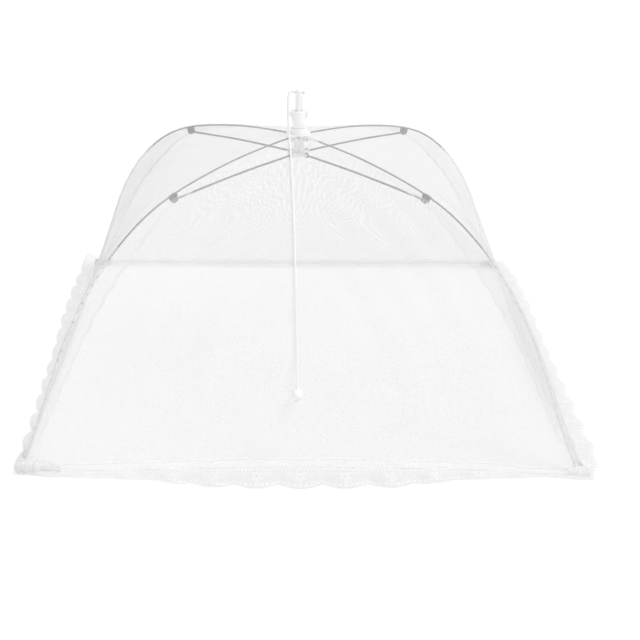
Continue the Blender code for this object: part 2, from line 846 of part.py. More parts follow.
def add_strip(name, line, pivot, parent):
    """The seam allowance that hangs inside, beside the rib."""
    grid = []
    for i in range(STRIP_STEPS + 1):
        share = i / STRIP_STEPS
        row = STRIP_FROM_SHARE + (STRIP_TO_SHARE - STRIP_FROM_SHARE) * share
        index = min(int(row * (len(line) - 1)), len(line) - 2)
        a, b = line[index], line[index + 1]
        point = a.lerp(b, row * (len(line) - 1) - index)
        along = (b - a).normalized()
        normal = Vector((-along.y, along.x))
        below = NET_THICKNESS + STRIP_THICKNESS / 2 + GAP
        corner = STRIP_ACROSS * normal.x - NET_OVER_TIP * row
        root = point - normal * (below + max(corner, 0.0))
        width = STRIP_WIDTH * max(math.sin(math.pi * share), STRIP_THICKNESS / STRIP_WIDTH)
        tip = root - normal * (width * math.cos(STRIP_LEAN))
        across = STRIP_ACROSS + width * math.sin(STRIP_LEAN)
        grid.append([Vector((root.x, STRIP_ACROSS, root.y)), Vector((tip.x, across, tip.y))])
    mirrored = name in ("front_right", "back_left")
    return sheet_from(f"{name}_seam_strip", grid, STRIP_THICKNESS, mirrored, pivot, "net", parent)


def l_shaped(name, half_grid_of, thickness, pivot, kind, parent):
    """A strip round the corner, from the middle of one side to the middle of the next."""
    first = list(reversed(half_grid_of(+1)))
    second = half_grid_of(-1)[1:]
    grid = first + [[Vector((p.x, -p.y, p.z)) for p in row] for row in second]
    return sheet_from(name, grid, thickness, False, pivot, kind, parent)


def add_hem(name, pivot, parent):
    """The stitched band under the net, L-shaped round its corner."""

    def half(leg):
        """Both legs of the hem are alike."""
        rows = []
        for i in range(HEM_STEPS + 1):
            share = i / HEM_STEPS
            stop = min(share, 1 - MIDDLE_SETBACK / HALF_SPAN)
            top = hem_line(HEM_TOP_OUT, blend(HEM_TOP_HEIGHT, share) - GAP, stop)
            low = hem_line(HEM_LOW_OUT, blend(HEM_LOW_HEIGHT, share), stop)
            rows.append([top, low])
        return rows

    return l_shaped(f"{name}_hem", half, HEM_THICKNESS, pivot, "lace", parent)


def add_lace(name, front_side, pivot, parent):
    """The scalloped trim under the hem; front_side says which leg runs along the front or back."""

    def half(leg):
        out = LACE_OUT_FRONT if leg == front_side else LACE_OUT_SIDE
        rows = []
        count = SCALLOPS * SCALLOP_STEPS
        for i in range(count + 1):
            share = i / count
            stop = min(share, 1 - MIDDLE_SETBACK / HALF_SPAN)
            top_height = blend(HEM_LOW_HEIGHT, share) - GAP - LACE_THICKNESS / 2
            top = hem_line(HEM_LOW_OUT, top_height, stop)
            bump = abs(math.sin(math.pi * SCALLOPS * share)) ** 0.7
            fade = min(1.0, share * SCALLOPS)
            spread = [out[0], out[1]]
            scallop = SCALLOP_DEPTH * bump * fade
            height = LACE_HEIGHT + RUFFLE * fade * (1 - math.cos(math.tau * RUFFLE_WAVES * share)) / 2
            low = hem_line(spread, height, stop)
            low += Vector((1, 1, 0)).normalized() * scallop
            rows.append([top, low])
        return rows

    return l_shaped(f"{name}_lace", half, LACE_THICKNESS, pivot, "lace", parent)


def add_corner(name, side, depth, line):
    """All that moves with one rib, hung from an empty on the rib's hinge axis."""
    turn = math.atan2(depth, side)
    out = Vector((side, depth, 0)).normalized()
    pivot = Vector((rib_pin_radius(), RIB_PIN_HEIGHT))
    hinge = add_axis(f"{name}_hinge", out * rib_pin_radius() + Vector((0, 0, RIB_PIN_HEIGHT)), turn)
    fork = add_axis(f"{name}_fork", hinge.location, turn)
    add_pin(f"{name}_rib_pin", fork, Vector((0, 0, 0)), EAR_WIDTH - GAP)
    add_rib(name, line, pivot, hinge)
    add_clip(name, line, pivot, hinge)
    pin = clip_pin_place(line)
    add_pin(f"{name}_clip_pin", hinge, in_plane(pin, pivot), CLIP_WIDTH)
    add_tip_cap(name, line, pivot, hinge)
    add_strip(name, line, pivot, hinge)
    add_hem(name, pivot, hinge)
    front_side = 1 if side * depth > 0 else -1
    add_lace(name, front_side, pivot, hinge)
    across_name, along_name = name.split("_")
    halves = {
        front_side: f"{across_name}_panel_{along_name}_half",
        -front_side: f"{along_name}_panel_{across_name}_half",
    }
    grid = panel_grid(line, PANEL_ROWS, PANEL_COLUMNS)
    for leg, half_name in halves.items():
        sheet_from(half_name, grid, NET_THICKNESS, leg < 0, pivot, "net", hinge)
    elbow = add_axis(f"{name}_elbow", in_plane(pin, pivot), 0.0, hinge)
    add_strut(name, line, elbow)


def string_direction(end):
    """Which way the string points at its last (-1) or first (0) end, outwards."""
    step = -1 if end else 1
    return (Vector(STRING_ROUTE[end]) - Vector(STRING_ROUTE[end + step])).normalized()


def add_string(bead_axis):
    """The pull string with a knot at each end."""
    places = smooth_curve([Vector(p) for p in STRING_ROUTE], STRING_POINTS)
    top = [places[0] + string_direction(0) * KNOT_LENGTH * s for s, _ in KNOT_SHARES]
    low = [places[-1] + string_direction(-1) * KNOT_LENGTH * s for s, _ in reversed(KNOT_SHARES)]
    swell = [w for _, w in KNOT_SHARES]
    sizes = swell + [1.0] * len(places) + swell[::-1]
    route = [p - bead_axis.location for p in top + places + low]
    wire("pull_string", route, STRING_RADIUS, bead_axis, swell=sizes, kind="string")


def add_bead(bead_axis):
    """The bead on the string's end, with its bore along the string."""
    along = string_direction(-1)
    aim = along.to_track_quat("Z", "Y").to_matrix().to_4x4()

    def ball(bm):
        bmesh.ops.create_uvsphere(
            bm, u_segments=ROUND - 8, v_segments=SMALL_ROUND - 2, radius=BEAD_RADIUS, matrix=aim
        )

    def bore(bm):
        reach = along * (BEAD_RADIUS + CUT_OVERRUN)
        add_rod(bm, -reach, reach, BEAD_BORE)

    bead = add_object("string_bead", mesh_from("string_bead", ball), "white_plastic", bead_axis)
    combine(bead, tool_piece("bead_bore", bore, bead_axis), "DIFFERENCE")


def bead_place():
    """The bead's middle: back along the string from the knot at its end."""
    return Vector(STRING_ROUTE[-1]) - string_direction(-1) * (BEAD_RADIUS + GAP)


def main():
    clear_scene()
    line = rib_line()
    add_hub()
    add_collar()
    add_sleeve()
    slide = add_axis("runner_slide", Vector((0, 0, knuckle_height())))
    add_runner(slide)
    add_post(slide)
    for name, side, depth in CORNERS:
        turn = math.atan2(depth, side)
        out = Vector((side, depth, 0)).normalized()
        seat = add_axis(f"{name}_knuckle", out * knuckle_radius(), turn, slide)
        add_pin(f"{name}_knuckle_pin", seat, Vector((0, 0, 0)), EAR_WIDTH - GAP)
        add_corner(name, side, depth, line)
    bead_axis = add_axis("bead_slide", bead_place())
    add_string(bead_axis)
    add_bead(bead_axis)


main()
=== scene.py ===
"""Pop-up net food cover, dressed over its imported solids.

All sizes are in metres, with +Z up and the front at -Y. Each corner of the cover is drawn in its
own frame first: X points from the hub's axis to the corner, Y across it and Z up.
"""

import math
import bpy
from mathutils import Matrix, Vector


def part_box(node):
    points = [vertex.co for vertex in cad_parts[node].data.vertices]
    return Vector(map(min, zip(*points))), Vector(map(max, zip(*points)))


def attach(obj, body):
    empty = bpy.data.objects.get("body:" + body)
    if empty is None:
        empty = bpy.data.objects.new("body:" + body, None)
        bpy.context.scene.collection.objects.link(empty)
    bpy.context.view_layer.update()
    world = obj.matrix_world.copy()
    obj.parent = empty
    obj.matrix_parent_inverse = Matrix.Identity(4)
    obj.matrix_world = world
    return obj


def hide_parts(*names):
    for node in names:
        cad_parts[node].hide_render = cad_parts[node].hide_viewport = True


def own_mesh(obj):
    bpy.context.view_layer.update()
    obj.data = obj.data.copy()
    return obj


bl_info = {
    "name": "Net food cover",
    "version": (1, 0, 0),
    "blender": (4, 5, 0),
    "location": "View3D > Sidebar > Food cover",
    "description": "Dresses a folding net food cover with cloth, wire and moulded pieces",
    "category": "Add Mesh",
}

import bpy
import numpy as np
from bpy.props import FloatProperty, FloatVectorProperty, IntProperty, PointerProperty
from mathutils import Matrix, Vector

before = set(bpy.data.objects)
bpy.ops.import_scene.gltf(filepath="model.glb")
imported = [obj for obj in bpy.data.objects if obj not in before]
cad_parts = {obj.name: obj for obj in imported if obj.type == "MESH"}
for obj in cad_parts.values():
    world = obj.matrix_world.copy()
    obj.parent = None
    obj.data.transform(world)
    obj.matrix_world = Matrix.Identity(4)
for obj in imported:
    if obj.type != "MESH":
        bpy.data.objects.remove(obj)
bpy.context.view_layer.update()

CORNERS = {
    "front_left": (-1, -1),
    "front_right": (1, -1),
    "back_right": (1, 1),
    "back_left": (-1, 1),
}
ROOT_TWO = math.sqrt(2)
QUARTER = math.pi / 2

# Overall and wires
HALF_SPAN = 0.2225
RIB_WIRE = 0.0015
STRUT_WIRE = 0.0018
PIN_WIRE = 0.0011
EYE_PLAY = 0.0003
CLEARANCE = 0.0003  # between pieces that move on each other
PIN_HOLE = PIN_WIRE / 2 + CLEARANCE
RIB_PIN_RADIUS = 0.0085
RIB_PIN_HEIGHT = 0.2145
RIB_TIP_HEIGHT = 0.0050
RIB_SHARES = (
    (0.045, 0.999),
    (0.186, 0.982),
    (0.309, 0.955),
    (0.431, 0.916),
    (0.548, 0.856),
    (0.654, 0.761),
    (0.746, 0.638),
    (0.823, 0.492),
    (0.884, 0.332),
    (0.938, 0.165),
    (1.000, 0.000),
)
RIB_EYE = (PIN_WIRE + RIB_WIRE) / 2 + EYE_PLAY
RIB_EYE_TURN = 300  # degrees that the wire is closed round its pin
EYE_STEPS = 22
STRUT_BOW = 0.0013
STRUT_EYE = (PIN_WIRE + STRUT_WIRE) / 2 + EYE_PLAY
STRUT_EYE_TURN = 325
CLIP_RADIUS = 0.1488
CLIP_PIN_DROP = 0.0047
CLIP_LENGTH = 0.0070
CLIP_WIDTH = 0.0044
CLIP_SKIRT = 0.0016  # below its pin
CLIP_TAPER = 0.72
KNUCKLE_RADIUS = 0.0100
KNUCKLE_HEIGHT = 0.1996

# Hub, collar, sleeve, runner and post
TUBE_RADIUS = 0.0048
POST_BORE = 0.00375
TUBE_FOOT = 0.2014
TUBE_TOP = 0.2212
TUBE_SLOTS = ((TUBE_FOOT - 0.003, TUBE_FOOT + 0.0040), (0.2137, 0.2157))
SLOT_HALF = 0.00095
FINGER_ROUNDING = 0.0011
EAR_WIDTH = 0.0046
EAR_WALL = 0.0011
HUB_EAR = (0.0020, 0.0022)  # above and below its pin, and beyond it
RUNNER_EAR = (0.0015, 0.0018)
RUNNER_EAR_ROOM = 0.0040  # length of its fork inside the pin
RUNNER_SKIRT = 0.0024  # below its pins
COLLAR_RADIUS = 0.0070
COLLAR_EDGE = 0.0005
COLLAR_LINE = 0.00025  # depth of the line pressed round it
SLEEVE_RADIUS = 0.0061
WING_ROOT = 0.0049
WING_START = 0.0009
WING_HALF = 0.0022
WING_HEIGHT = 0.0090
WING_STEPS = (  # how far it is drawn out, what height it keeps and how far it rises
    (0.0012, 0.71, 0.0007),
    (0.0010, 0.64, 0.00045),
    (0.0007, 0.585, 0.00005),
)
RUNNER_RADIUS = 0.0050
RUNNER_SOCKET = 0.00365
POST_RADIUS = 0.0033
POST_DOME = 0.0024
POST_AXIS = 0.000002  # radius at which its ends are closed
POST_EYE_DROP = 0.0034
POST_EYE = 0.0015
FLUTE_RADIUS = 0.0010

# Net, with its waves as (depth, length)
NET_OVER_HUB = 0.0013
NET_OVER_TIP = 0.0019
NET_ROWS = 66
NET_COLUMNS = 26
NET_HOLE = 0.0077
NET_HOLE_ROUND = 0.0051
INNER_ROWS = (-0.0024, -0.0012)  # how far inside the first row the cut's two rows lie
PANEL_SAG = 0.0070
CORNER_FOLD = (0.0030, 0.0200, 0.0070)  # depth, setback and width
SEAM_PUCKER = (0.00035, 0.0085)
PUCKER_REACH = 0.010
NET_SLACK = (0.0011, 0.031)
HEM_PULL = 0.0009
TOP_RADIUS = 0.0054  # inside of the gathered top
TOP_RIM = 0.0104
TOP_OVER_RIB = 0.0022  # how much further out it reaches over each rib
TOP_UNEVEN = 0.0005
TOP_LIFT = 0.0007
TOP_FOLDS = 44
TOP_FOLD_DEPTH = 0.00028

# Hem, with its two edges as (at the corner, in the side's middle)
HEM_TOP_OUT = (0.0007, -0.0045)
HEM_TOP_HEIGHT = (0.0080, 0.0101)
HEM_LOW_OUT = (0.0034, -0.0005)
HEM_LOW_HEIGHT = (0.0037, 0.0044)
HEM_WIDTH = 0.010
HEM_STITCHES = (0.0022, 0.0078)  # places of its two rows across the band
HEM_WEAVE = 0.0011
HEM_PUCKER = (0.00025, 0.0066)  # depth and length of its waves
HEM_SLACK = (0.0005, 0.047)
HEM_SEWN = 0.0008  # thickness at its stitches
HEM_PUFF = 0.0007  # added between them
HEM_ROLL = 0.0006  # added along its upper edge

# Lace
LACE_HEIGHT = 0.0007
LACE_LEAST = 0.0005  # no part of it lies lower
LACE_LOBES = 0.0009
LACE_CREST = 0.0010
LACE_RIPPLE = 0.0007
SCALLOPS = 6.5  # on half a side
# The lace lies as it fell: (place along the side, reach, depth of its scallops), in millimetres
LACE_FRONT = (
    (-222, 4.0, 0.5),
    (-200, 7.0, 0.8),
    (-160, 9.5, 1.2),
    (-110, 12.0, 2.0),
    (-90, 16.0, 5.0),
    (-50, 18.5, 7.0),
    (30, 19.0, 7.0),
    (80, 18.0, 6.0),
    (105, 14.0, 3.0),
    (130, 11.5, 1.5),
    (185, 9.0, 1.0),
    (222, 12.0, 2.0),
)
LACE_LEFT = (
    (-222, 2.0, 1.0),
    (-200, 4.5, 4.0),
    (-150, 5.0, 4.2),
    (-105, 7.0, 3.5),
    (-60, 9.5, 3.0),
    (0, 12.0, 2.5),
    (70, 14.5, 4.0),
    (127, 15.5, 4.5),
    (185, 16.0, 4.0),
    (222, 17.0, 4.0),
)
LACE_RIGHT = (
    (-222, 14.0, 4.0),
    (-190, 20.0, 4.0),
    (-130, 19.5, 3.5),
    (0, 19.5, 3.5),
    (100, 21.0, 3.5),
    (180, 20.0, 3.5),
    (222, 16.0, 4.0),
)
LACE_BACK = ((-222, 13.0, 4.0), (0, 15.0, 4.5), (222, 13.0, 4.0))
LACE_LOBE = 0.0085  # rise of the lobe that stands up at the back left corner
LACE_CORNER = {"front_left": 3.5, "front_right": 13.0, "back_right": 16.0, "back_left": 16.0}

# Lace bunched round a corner
BUNCH_SHARE = 0.145  # of half a side, where it is full
BUNCH_LESS = 0.45  # of that at the three tidier corners
BUNCH_FOOT = 0.0010
BUNCH_RISE = (0.0035, 0.0088)  # at its ends, and added in its middle
BUNCH_FOLD = 0.0008
BUNCH_BELLY = 0.0082

# At this corner the hem has slipped down and out on the rib's tip
SLIPPED = "front_right"
SLIP_OUT = 0.0045
SLIP_DOWN = 0.0034
SLIP_RUNS = (0.42, 0.08)  # shares of the front and of the side over which it does

# Seam strip and thread
STRIP_WIDTH = 0.0125
STRIP_ACROSS = 0.0030
STRIP_DROP = 0.00105  # its root's least distance below the rib's middle
STRIP_LEAN = math.radians(18)
STRIP_ROWS = (0.16, 0.95)
STRIP_WAVE = (0.0011, 0.021)  # depth and length of its waves
OVERLOCK_PITCH = 0.0021
OVERLOCK_RADIUS = 0.00026
BOUND_ROWS = (0.52, 0.997)
BINDING_RADIUS = 0.00030
BINDING_LIFT = 0.00026  # of its middle over the rib's surface
BINDING_PITCH = 0.00060
BINDING_PITCH_SLIPPED = 0.00067
BINDING_BEAT = 0.0082  # from one stitch through the net to the next
BINDING_POINTS = 5200

# How far out the seam's inner end hides each rib
SEAM_ENDS = {"front_left": 0.0125, "front_right": 0.0260, "back_right": 0.0130, "back_left": 0.0150}
SEAM_END_START = 0.0062
SEAM_END_RADIUS = 0.0015
SEAM_END_CREASE = 0.0002

# Strength of a glow painted on white yarn as emission, in place of the light that comes through it
# from behind
YARN_PAINTED_GLOW = 0.06
THREAD_PAINTED_GLOW = 0.12

# Pull string
STRING_RADIUS = 0.0010
STRING_ROUTE = (
    (0.0048, 0.0000, 0.2553),
    (0.0030, 0.0000, 0.2553),
    (0.0010, 0.0000, 0.2553),
    (-0.0012, 0.0000, 0.2553),
    (-0.0034, 0.0000, 0.2553),
    (-0.0060, -0.0006, 0.2562),
    (-0.0082, -0.0020, 0.2560),
    (-0.0095, -0.0036, 0.2520),
    (-0.0098, -0.0048, 0.2460),
    (-0.0098, -0.0056, 0.2390),
    (-0.0095, -0.0064, 0.2310),
    (-0.0091, -0.0078, 0.2240),
    (-0.0087, -0.0115, 0.2198),
    (-0.0083, -0.0180, 0.2182),
    (-0.0079, -0.0303, 0.2165),
    (-0.0073, -0.0504, 0.2124),
    (-0.0067, -0.0705, 0.2064),
    (-0.0060, -0.0957, 0.1965),
    (-0.0053, -0.1188, 0.1837),
    (-0.0046, -0.1412, 0.1647),
    (-0.0040, -0.1594, 0.1435),
    (-0.0036, -0.1725, 0.1243),
    (-0.0033, -0.1815, 0.1090),
    (-0.0029, -0.1918, 0.0877),
    (-0.0026, -0.2030, 0.0671),
    (-0.0025, -0.2078, 0.0573),
)
BEAD_RADIUS = 0.0046
BEAD_BORE = 0.0014
KNOT_SIZE = 0.00036
KNOT_STRAND = 0.00068

# Stage, with its angles in degrees
FLOOR_SIZE = 9
SUN_TURN = (31, 0, 76)
SUN_SIZE = 28
CAMERA_PLACE = (-0.0128, -1.071, 0.5171)
CAMERA_TURN = (24.32, 1.11, -0.52)  # downwards, to the right and round its own axis
CAMERA_SHIFT = (0.0219, 0.0016)


def colour_setting(name, description, default):
    return FloatVectorProperty(
        name=name, description=description, default=default, size=3, subtype="COLOR"
    )


def length_setting(name, description, default, least):
    return FloatProperty(
        name=name, description=description, default=default, min=least, unit="LENGTH"
    )


def share_setting(name, description, default, least, most):
    return FloatProperty(
        name=name, description=description, default=default, min=least, max=most, subtype="FACTOR"
    )


class ClothSettings(bpy.types.PropertyGroup):
    """Net, hem, lace and thread."""

    net_colour: colour_setting("Net colour", "Colour of the net's thread", (0.84, 0.84, 0.845))
    trim_colour: colour_setting(
        "Trim colour", "Colour of the hem, the lace and the sewing thread", (0.93, 0.93, 0.93)
    )
    mesh_pitch: length_setting(
        "Mesh pitch", "Distance from one hole of the net to the next", 0.0014, 0.0005
    )
    thread_share: share_setting(
        "Thread share", "Share of the pitch that the thread covers, each way", 0.22, 0.05, 0.9
    )
    shadow_share: share_setting(
        "Shadow share", "Share of a thread's shadow that its thin yarn really casts", 0.28, 0.0, 1.0
    )
    stitch_pitch: length_setting(
        "Stitch pitch", "Distance from one stitch of the hem to the next", 0.0030, 0.001
    )


class WireSettings(bpy.types.PropertyGroup):
    """Ribs, struts, pins and clips."""

    steel_colour: colour_setting(
        "Steel colour", "Colour of the ribs and struts", (0.175, 0.175, 0.180)
    )
    clip_colour: colour_setting(
        "Clip colour", "Colour of the pressed saddles under the ribs", (0.045, 0.045, 0.048)
    )
    wire_steps: IntProperty(
        name="Rib steps",
        description="How many points a rib's wire is drawn through",
        default=110,
        min=22,
    )


class PlasticSettings(bpy.types.PropertyGroup):
    """Moulded pieces on the hub's axis, and the bead."""

    white: colour_setting(
        "White plastic", "Colour of the collar, sleeve, post, bead and caps", (0.965, 0.97, 0.97)
    )
    grey: colour_setting(
        "Grey plastic", "Colour of the hub's tube and the runner", (0.91, 0.92, 0.92)
    )
    rounding: length_setting(
        "Edge rounding", "Radius on the edges of the moulded pieces", 0.00022, 0.00002
    )


class StringSettings(bpy.types.PropertyGroup):
    """The pull string."""

    colour: colour_setting("String colour", "Colour of the string's yarn", (0.94, 0.94, 0.94))
    twist_pitch: length_setting(
        "Twist pitch", "Length of string in which its strands turn once", 0.0052, 0.001
    )
    strands: IntProperty(
        name="Strands", description="How many strands the string is laid from", default=3, min=2
    )


class StageSettings(bpy.types.PropertyGroup):
    """Floor, light and camera."""

    floor_colour: colour_setting("Floor colour", "Colour of the plain floor", (0.92, 0.92, 0.92))
    floor_lift: FloatProperty(
        name="Floor lift",
        description="Light that the floor adds for what the camera sees",
        default=0.12,
        min=0.0,
    )
    sky: FloatProperty(
        name="Sky strength", description="Strength of the light from all round", default=0.79
    )
    sun: FloatProperty(
        name="Sun strength", description="Strength of the soft key light", default=0.98
    )
    lens: FloatProperty(
        name="Lens",
        description="Focal length of the camera in millimetres",
        default=68.85,
        unit="CAMERA",
    )


# Shape of the cover


def step_lengths(path):
    return np.linalg.norm(np.diff(path, axis=0), axis=1)


def run_at(steps):
    """The distance from the start at each point, from the lengths of the steps between them."""
    return np.concatenate([[0.0], np.cumsum(steps)])


def unit_grid(rows, columns, low=0, high=1):
    """Two grids: shares from 0 to 1 that grow row by row, and from low to high across."""
    return np.meshgrid(np.linspace(0, 1, rows), np.linspace(low, high, columns), indexing="ij")


def smooth_curve(points, count):
    """count points along a smooth curve through points, evenly spaced along its length."""
    places = np.array([tuple(p) for p in points], float)
    at = run_at(np.sqrt(step_lengths(places)))
    n = len(places)
    gaps = np.diff(at)
    system = np.zeros((n, n))
    right = np.zeros((n, places.shape[1]))
    system[0, 0] = system[-1, -1] = 1.0
    for i in range(1, n - 1):
        system[i, i - 1 : i + 2] = gaps[i - 1], 2 * (gaps[i - 1] + gaps[i]), gaps[i]
        rise = (places[i + 1] - places[i]) / gaps[i] - (places[i] - places[i - 1]) / gaps[i - 1]
        right[i] = 6 * rise
    bend = np.linalg.solve(system, right)
    t = np.linspace(0, at[-1], max(16 * count, 2000))
    i = np.clip(np.searchsorted(at, t) - 1, 0, n - 2)
    a, b, g = (at[i + 1] - t)[:, None], (t - at[i])[:, None], gaps[i][:, None]
    fine = (
        (bend[i] * a**3 + bend[i + 1] * b**3) / (6 * g)
        + (places[i] / g - bend[i] * g / 6) * a
        + (places[i + 1] / g - bend[i + 1] * g / 6) * b
    )
    run = run_at(step_lengths(fine))
    wanted = np.linspace(0, run[-1], count)
    return np.stack([np.interp(wanted, run, fine[:, k]) for k in range(fine.shape[1])], axis=1)


def rib_line(count):
    """The rib's middle line from its pin to its tip, as (out from the axis, height)."""
    tip = HALF_SPAN * ROOT_TWO
    top = RIB_PIN_HEIGHT + RIB_EYE
    rise = top - RIB_TIP_HEIGHT
    shares = [(s * tip, RIB_TIP_HEIGHT + h * rise) for s, h in RIB_SHARES]
    return smooth_curve([(RIB_PIN_RADIUS, top)] + shares, count)


RIB = rib_line(400)
RIB_LENGTH = float(step_lengths(RIB).sum())


def rib_at(row):
    """Distance out, height, and the unit normal's two parts, at shares of the rib's length."""
    at = np.clip(np.asarray(row, float), 0, 1) * (len(RIB) - 1)
    steps = np.arange(len(RIB))
    slope = np.gradient(RIB, axis=0)
    slope /= np.linalg.norm(slope, axis=1)[:, None]
    out, height = (np.interp(at, steps, RIB[:, k]) for k in (0, 1))
    along_out, along_up = (np.interp(at, steps, slope[:, k]) for k in (0, 1))
    return out, height, -along_up, along_out


def eased(pair, share):
    """From the first size of pair to the second, easing in and out."""
    return pair[0] + (pair[1] - pair[0]) * share * share * (3 - 2 * share)


def from_sides(across, along, height):
    """Points of a corner's frame, from how far they lie across and along one side."""
    parts = (across + along) / ROOT_TWO, (across - along) / ROOT_TWO, height
    return np.stack(np.broadcast_arrays(*parts), axis=-1)


def slip(corner, leg, share):
    """How much of the slipped corner's move a place on that leg has, from 0 to 1."""
    if corner != SLIPPED:
        return np.zeros_like(share)
    near = np.clip(1 - share / SLIP_RUNS[0 if leg_is_front(corner, leg) else 1], 0, 1)
    return near * near * (3 - 2 * near)


def edge_line(out, height, share, corner, leg):
    """Points round half a side in the corner's frame: share is 0 at the corner, 1 in the middle."""
    slipped = slip(corner, leg, share)
    start = HALF_SPAN + out[0] + (SLIP_OUT if corner == SLIPPED else 0.0)
    along = start * (1 - share)
    across = HALF_SPAN + eased(out, share) + SLIP_OUT * slipped
    return from_sides(across, along, height - np.minimum(SLIP_DOWN * slipped, height * 0.5))


def net_surface(row, share, phase):
    """Points of the net, with their distances along and down the panel.

    row runs from the hub to the hem, share from the rib to the panel's middle.
    """
    out, height, normal_out, normal_up = rib_at(row)
    lift = NET_OVER_HUB + (NET_OVER_TIP - NET_OVER_HUB) * row
    x = out + normal_out * lift + (NET_HOLE - RIB_PIN_RADIUS) * (1 - row) ** 21
    edge = height + normal_up * lift
    half = x / ROOT_TWO
    chord = share * half
    arc = row * RIB_LENGTH
    sag = PANEL_SAG * np.sin(math.pi * row) ** 2 * (1 - (1 - share) ** 2)
    depth, setback, width = CORNER_FOLD
    sag += depth * np.exp(-(((chord - setback) / width) ** 2)) * row**3
    free = np.sin(math.pi * share)
    middle = np.sin(math.pi * np.clip(row, 0, 1))
    depth, pitch = SEAM_PUCKER
    sag += depth * np.exp(-chord / PUCKER_REACH) * np.sin(math.tau * arc / pitch + phase) * middle
    depth, pitch = NET_SLACK
    slack = np.sin(math.tau * chord / pitch + 1.7 * np.sin(5 * row + phase) + phase)
    sag += depth * slack * free * middle**1.5
    pull = np.sin(math.tau * (share * 3.3 + row * 0.8) + phase)
    sag += HEM_PULL * pull * free * row**4 * (1 - row) * 8
    across = half - sag * np.maximum(normal_out, 0)
    side = half * (1 - share)
    return from_sides(across, side, edge - sag * np.maximum(normal_up, 0)), side, arc


def net_grid(corner, leg, phase):
    """Half of a corner's net as a grid of points, with its cut's two coordinates."""
    row, share = unit_grid(NET_ROWS + 1, NET_COLUMNS + 1)
    points, side, arc = net_surface(row, share, phase)
    foot, _, _ = net_surface(np.ones_like(row), share, phase)
    target = edge_line(HEM_TOP_OUT, eased(HEM_TOP_HEIGHT, share) + 0.0003, share, corner, leg)
    points = points + (target - foot) * (row**5)[..., None]
    reach = np.linalg.norm(points[0, :, :2], axis=1)
    collar = points[0] * np.stack([NET_HOLE_ROUND / reach] * 2 + [np.ones_like(reach)], axis=1)
    points = np.concatenate([np.array([collar, (collar + points[0]) / 2]), points])
    side = np.concatenate([np.stack([side[0]] * 2), side])
    inner = np.stack([np.full(NET_COLUMNS + 1, s) for s in INNER_ROWS])
    arc = np.concatenate([inner, arc])
    return points, side, arc


def joined(first, second, signs=True):
    """Two half grids joined at the corner's plane, the first as its mirror image."""
    mirrored = first[:, :0:-1].copy()
    if signs:
        mirrored[..., 1] *= -1
    return np.concatenate([mirrored, second], axis=1)


def both_legs(grid):
    """The coordinates of a half grid, for both halves."""
    return joined(grid, grid, signs=False)


def corner_axes(corner):
    side, depth = CORNERS[corner]
    out = np.array([side, depth, 0.0]) / ROOT_TWO
    return np.array([out, [-out[1], out[0], 0.0], [0.0, 0.0, 1.0]])


def at_corner(corner, points):
    """Points of a corner's frame as places of the object."""
    return np.asarray(points, float) @ corner_axes(corner)


def leg_is_front(corner, leg):
    """True if that leg of the corner runs along the cover's front or back edge."""
    side, depth = CORNERS[corner]
    return leg == side * depth


# Meshes made in code: cloth, cords and threads


def add_mesh(name, points, faces, coordinates):
    """A smooth mesh, with coordinates for each corner of each face as its UV map."""
    mesh = bpy.data.meshes.new(name)
    mesh.from_pydata([tuple(p) for p in points], [], [tuple(f) for f in faces])
    layer = mesh.uv_layers.new(name="cut")
    layer.data.foreach_set("uv", np.asarray(coordinates, float).reshape(-1))
    mesh.shade_smooth()
    mesh.update()
    piece = bpy.data.objects.new(name, mesh)
    bpy.context.collection.objects.link(piece)
    return piece


def grid_faces(rows, columns):
    i, j = np.meshgrid(np.arange(rows - 1), np.arange(columns - 1), indexing="ij")
    a = (i * columns + j).ravel()
    return np.stack([a, a + 1, a + columns + 1, a + columns], axis=1)


def woven_sheet(name, points, along, across, corner=None, split=None):
    """A sheet one thread thick from a grid of points, with its cut's coordinates as its UV map.

    Left of the column split the cut runs the other way, as on the second panel of a corner.
    """
    rows, columns = points.shape[:2]
    places = at_corner(corner, points) if corner else points
    faces = grid_faces(rows, columns)
    flat = places.reshape(-1, 3)
    first, second, _, last = (flat[faces[:, k]] for k in range(4))
    facing = np.cross(second - first, last - first)
    if (facing * (first - np.array([0.0, 0.0, 0.02]))).sum() < 0:
        faces = faces[:, ::-1]
    u, v = along.ravel()[faces], across.ravel()[faces]
    if split is not None:
        left = (faces % columns).max(axis=1) <= split
        u = np.where(left[:, None], -u, u)
    return add_mesh(name, flat, faces, np.stack([u, v], axis=-1))


def folded_sheet(name, points, thickness, along, across, corner):
    """A sheet with two faces, thickness apart at each point, closed at its edges."""
    across_step, along_step = np.gradient(points, axis=0), np.gradient(points, axis=1)
    normal = np.cross(across_step, along_step)
    normal /= np.linalg.norm(normal, axis=-1)[..., None] + 1e-12
    upper = points + normal * thickness[..., None] / 2
    lower = points - normal * thickness[..., None] / 2
    places = np.concatenate([upper, lower[::-1]], axis=0)
    rows, columns = places.shape[:2]
    flat = at_corner(corner, places).reshape(-1, 3)
    index = np.arange(rows * columns).reshape(rows, columns)
    closed = np.concatenate([index, index[:1]], axis=0)
    faces = np.stack([closed[:-1, :-1], closed[:-1, 1:], closed[1:, 1:], closed[1:, :-1]], axis=-1)
    faces = faces.reshape(-1, 4)
    u = np.concatenate([along, along[::-1]])
    v = np.concatenate([across, across[::-1]])
    ends = []
    count = rows // 2
    for column, turn in ((0, 1), (columns - 1, -1)):
        rim = index[:, column]
        for k in range(count - 1):
            quad = [rim[k], rim[k + 1], rim[rows - 2 - k], rim[rows - 1 - k]]
            ends.append(quad[::turn])
    faces = np.concatenate([faces, np.array(ends)])
    coordinates = np.stack([u.ravel()[faces], v.ravel()[faces]], axis=-1)
    piece = add_mesh(name, flat, faces, coordinates)
    start_edit(piece)
    bpy.ops.mesh.normals_make_consistent(inside=False)
    end_edit()
    bpy.ops.object.shade_smooth_by_angle(angle=math.radians(65))
    return piece


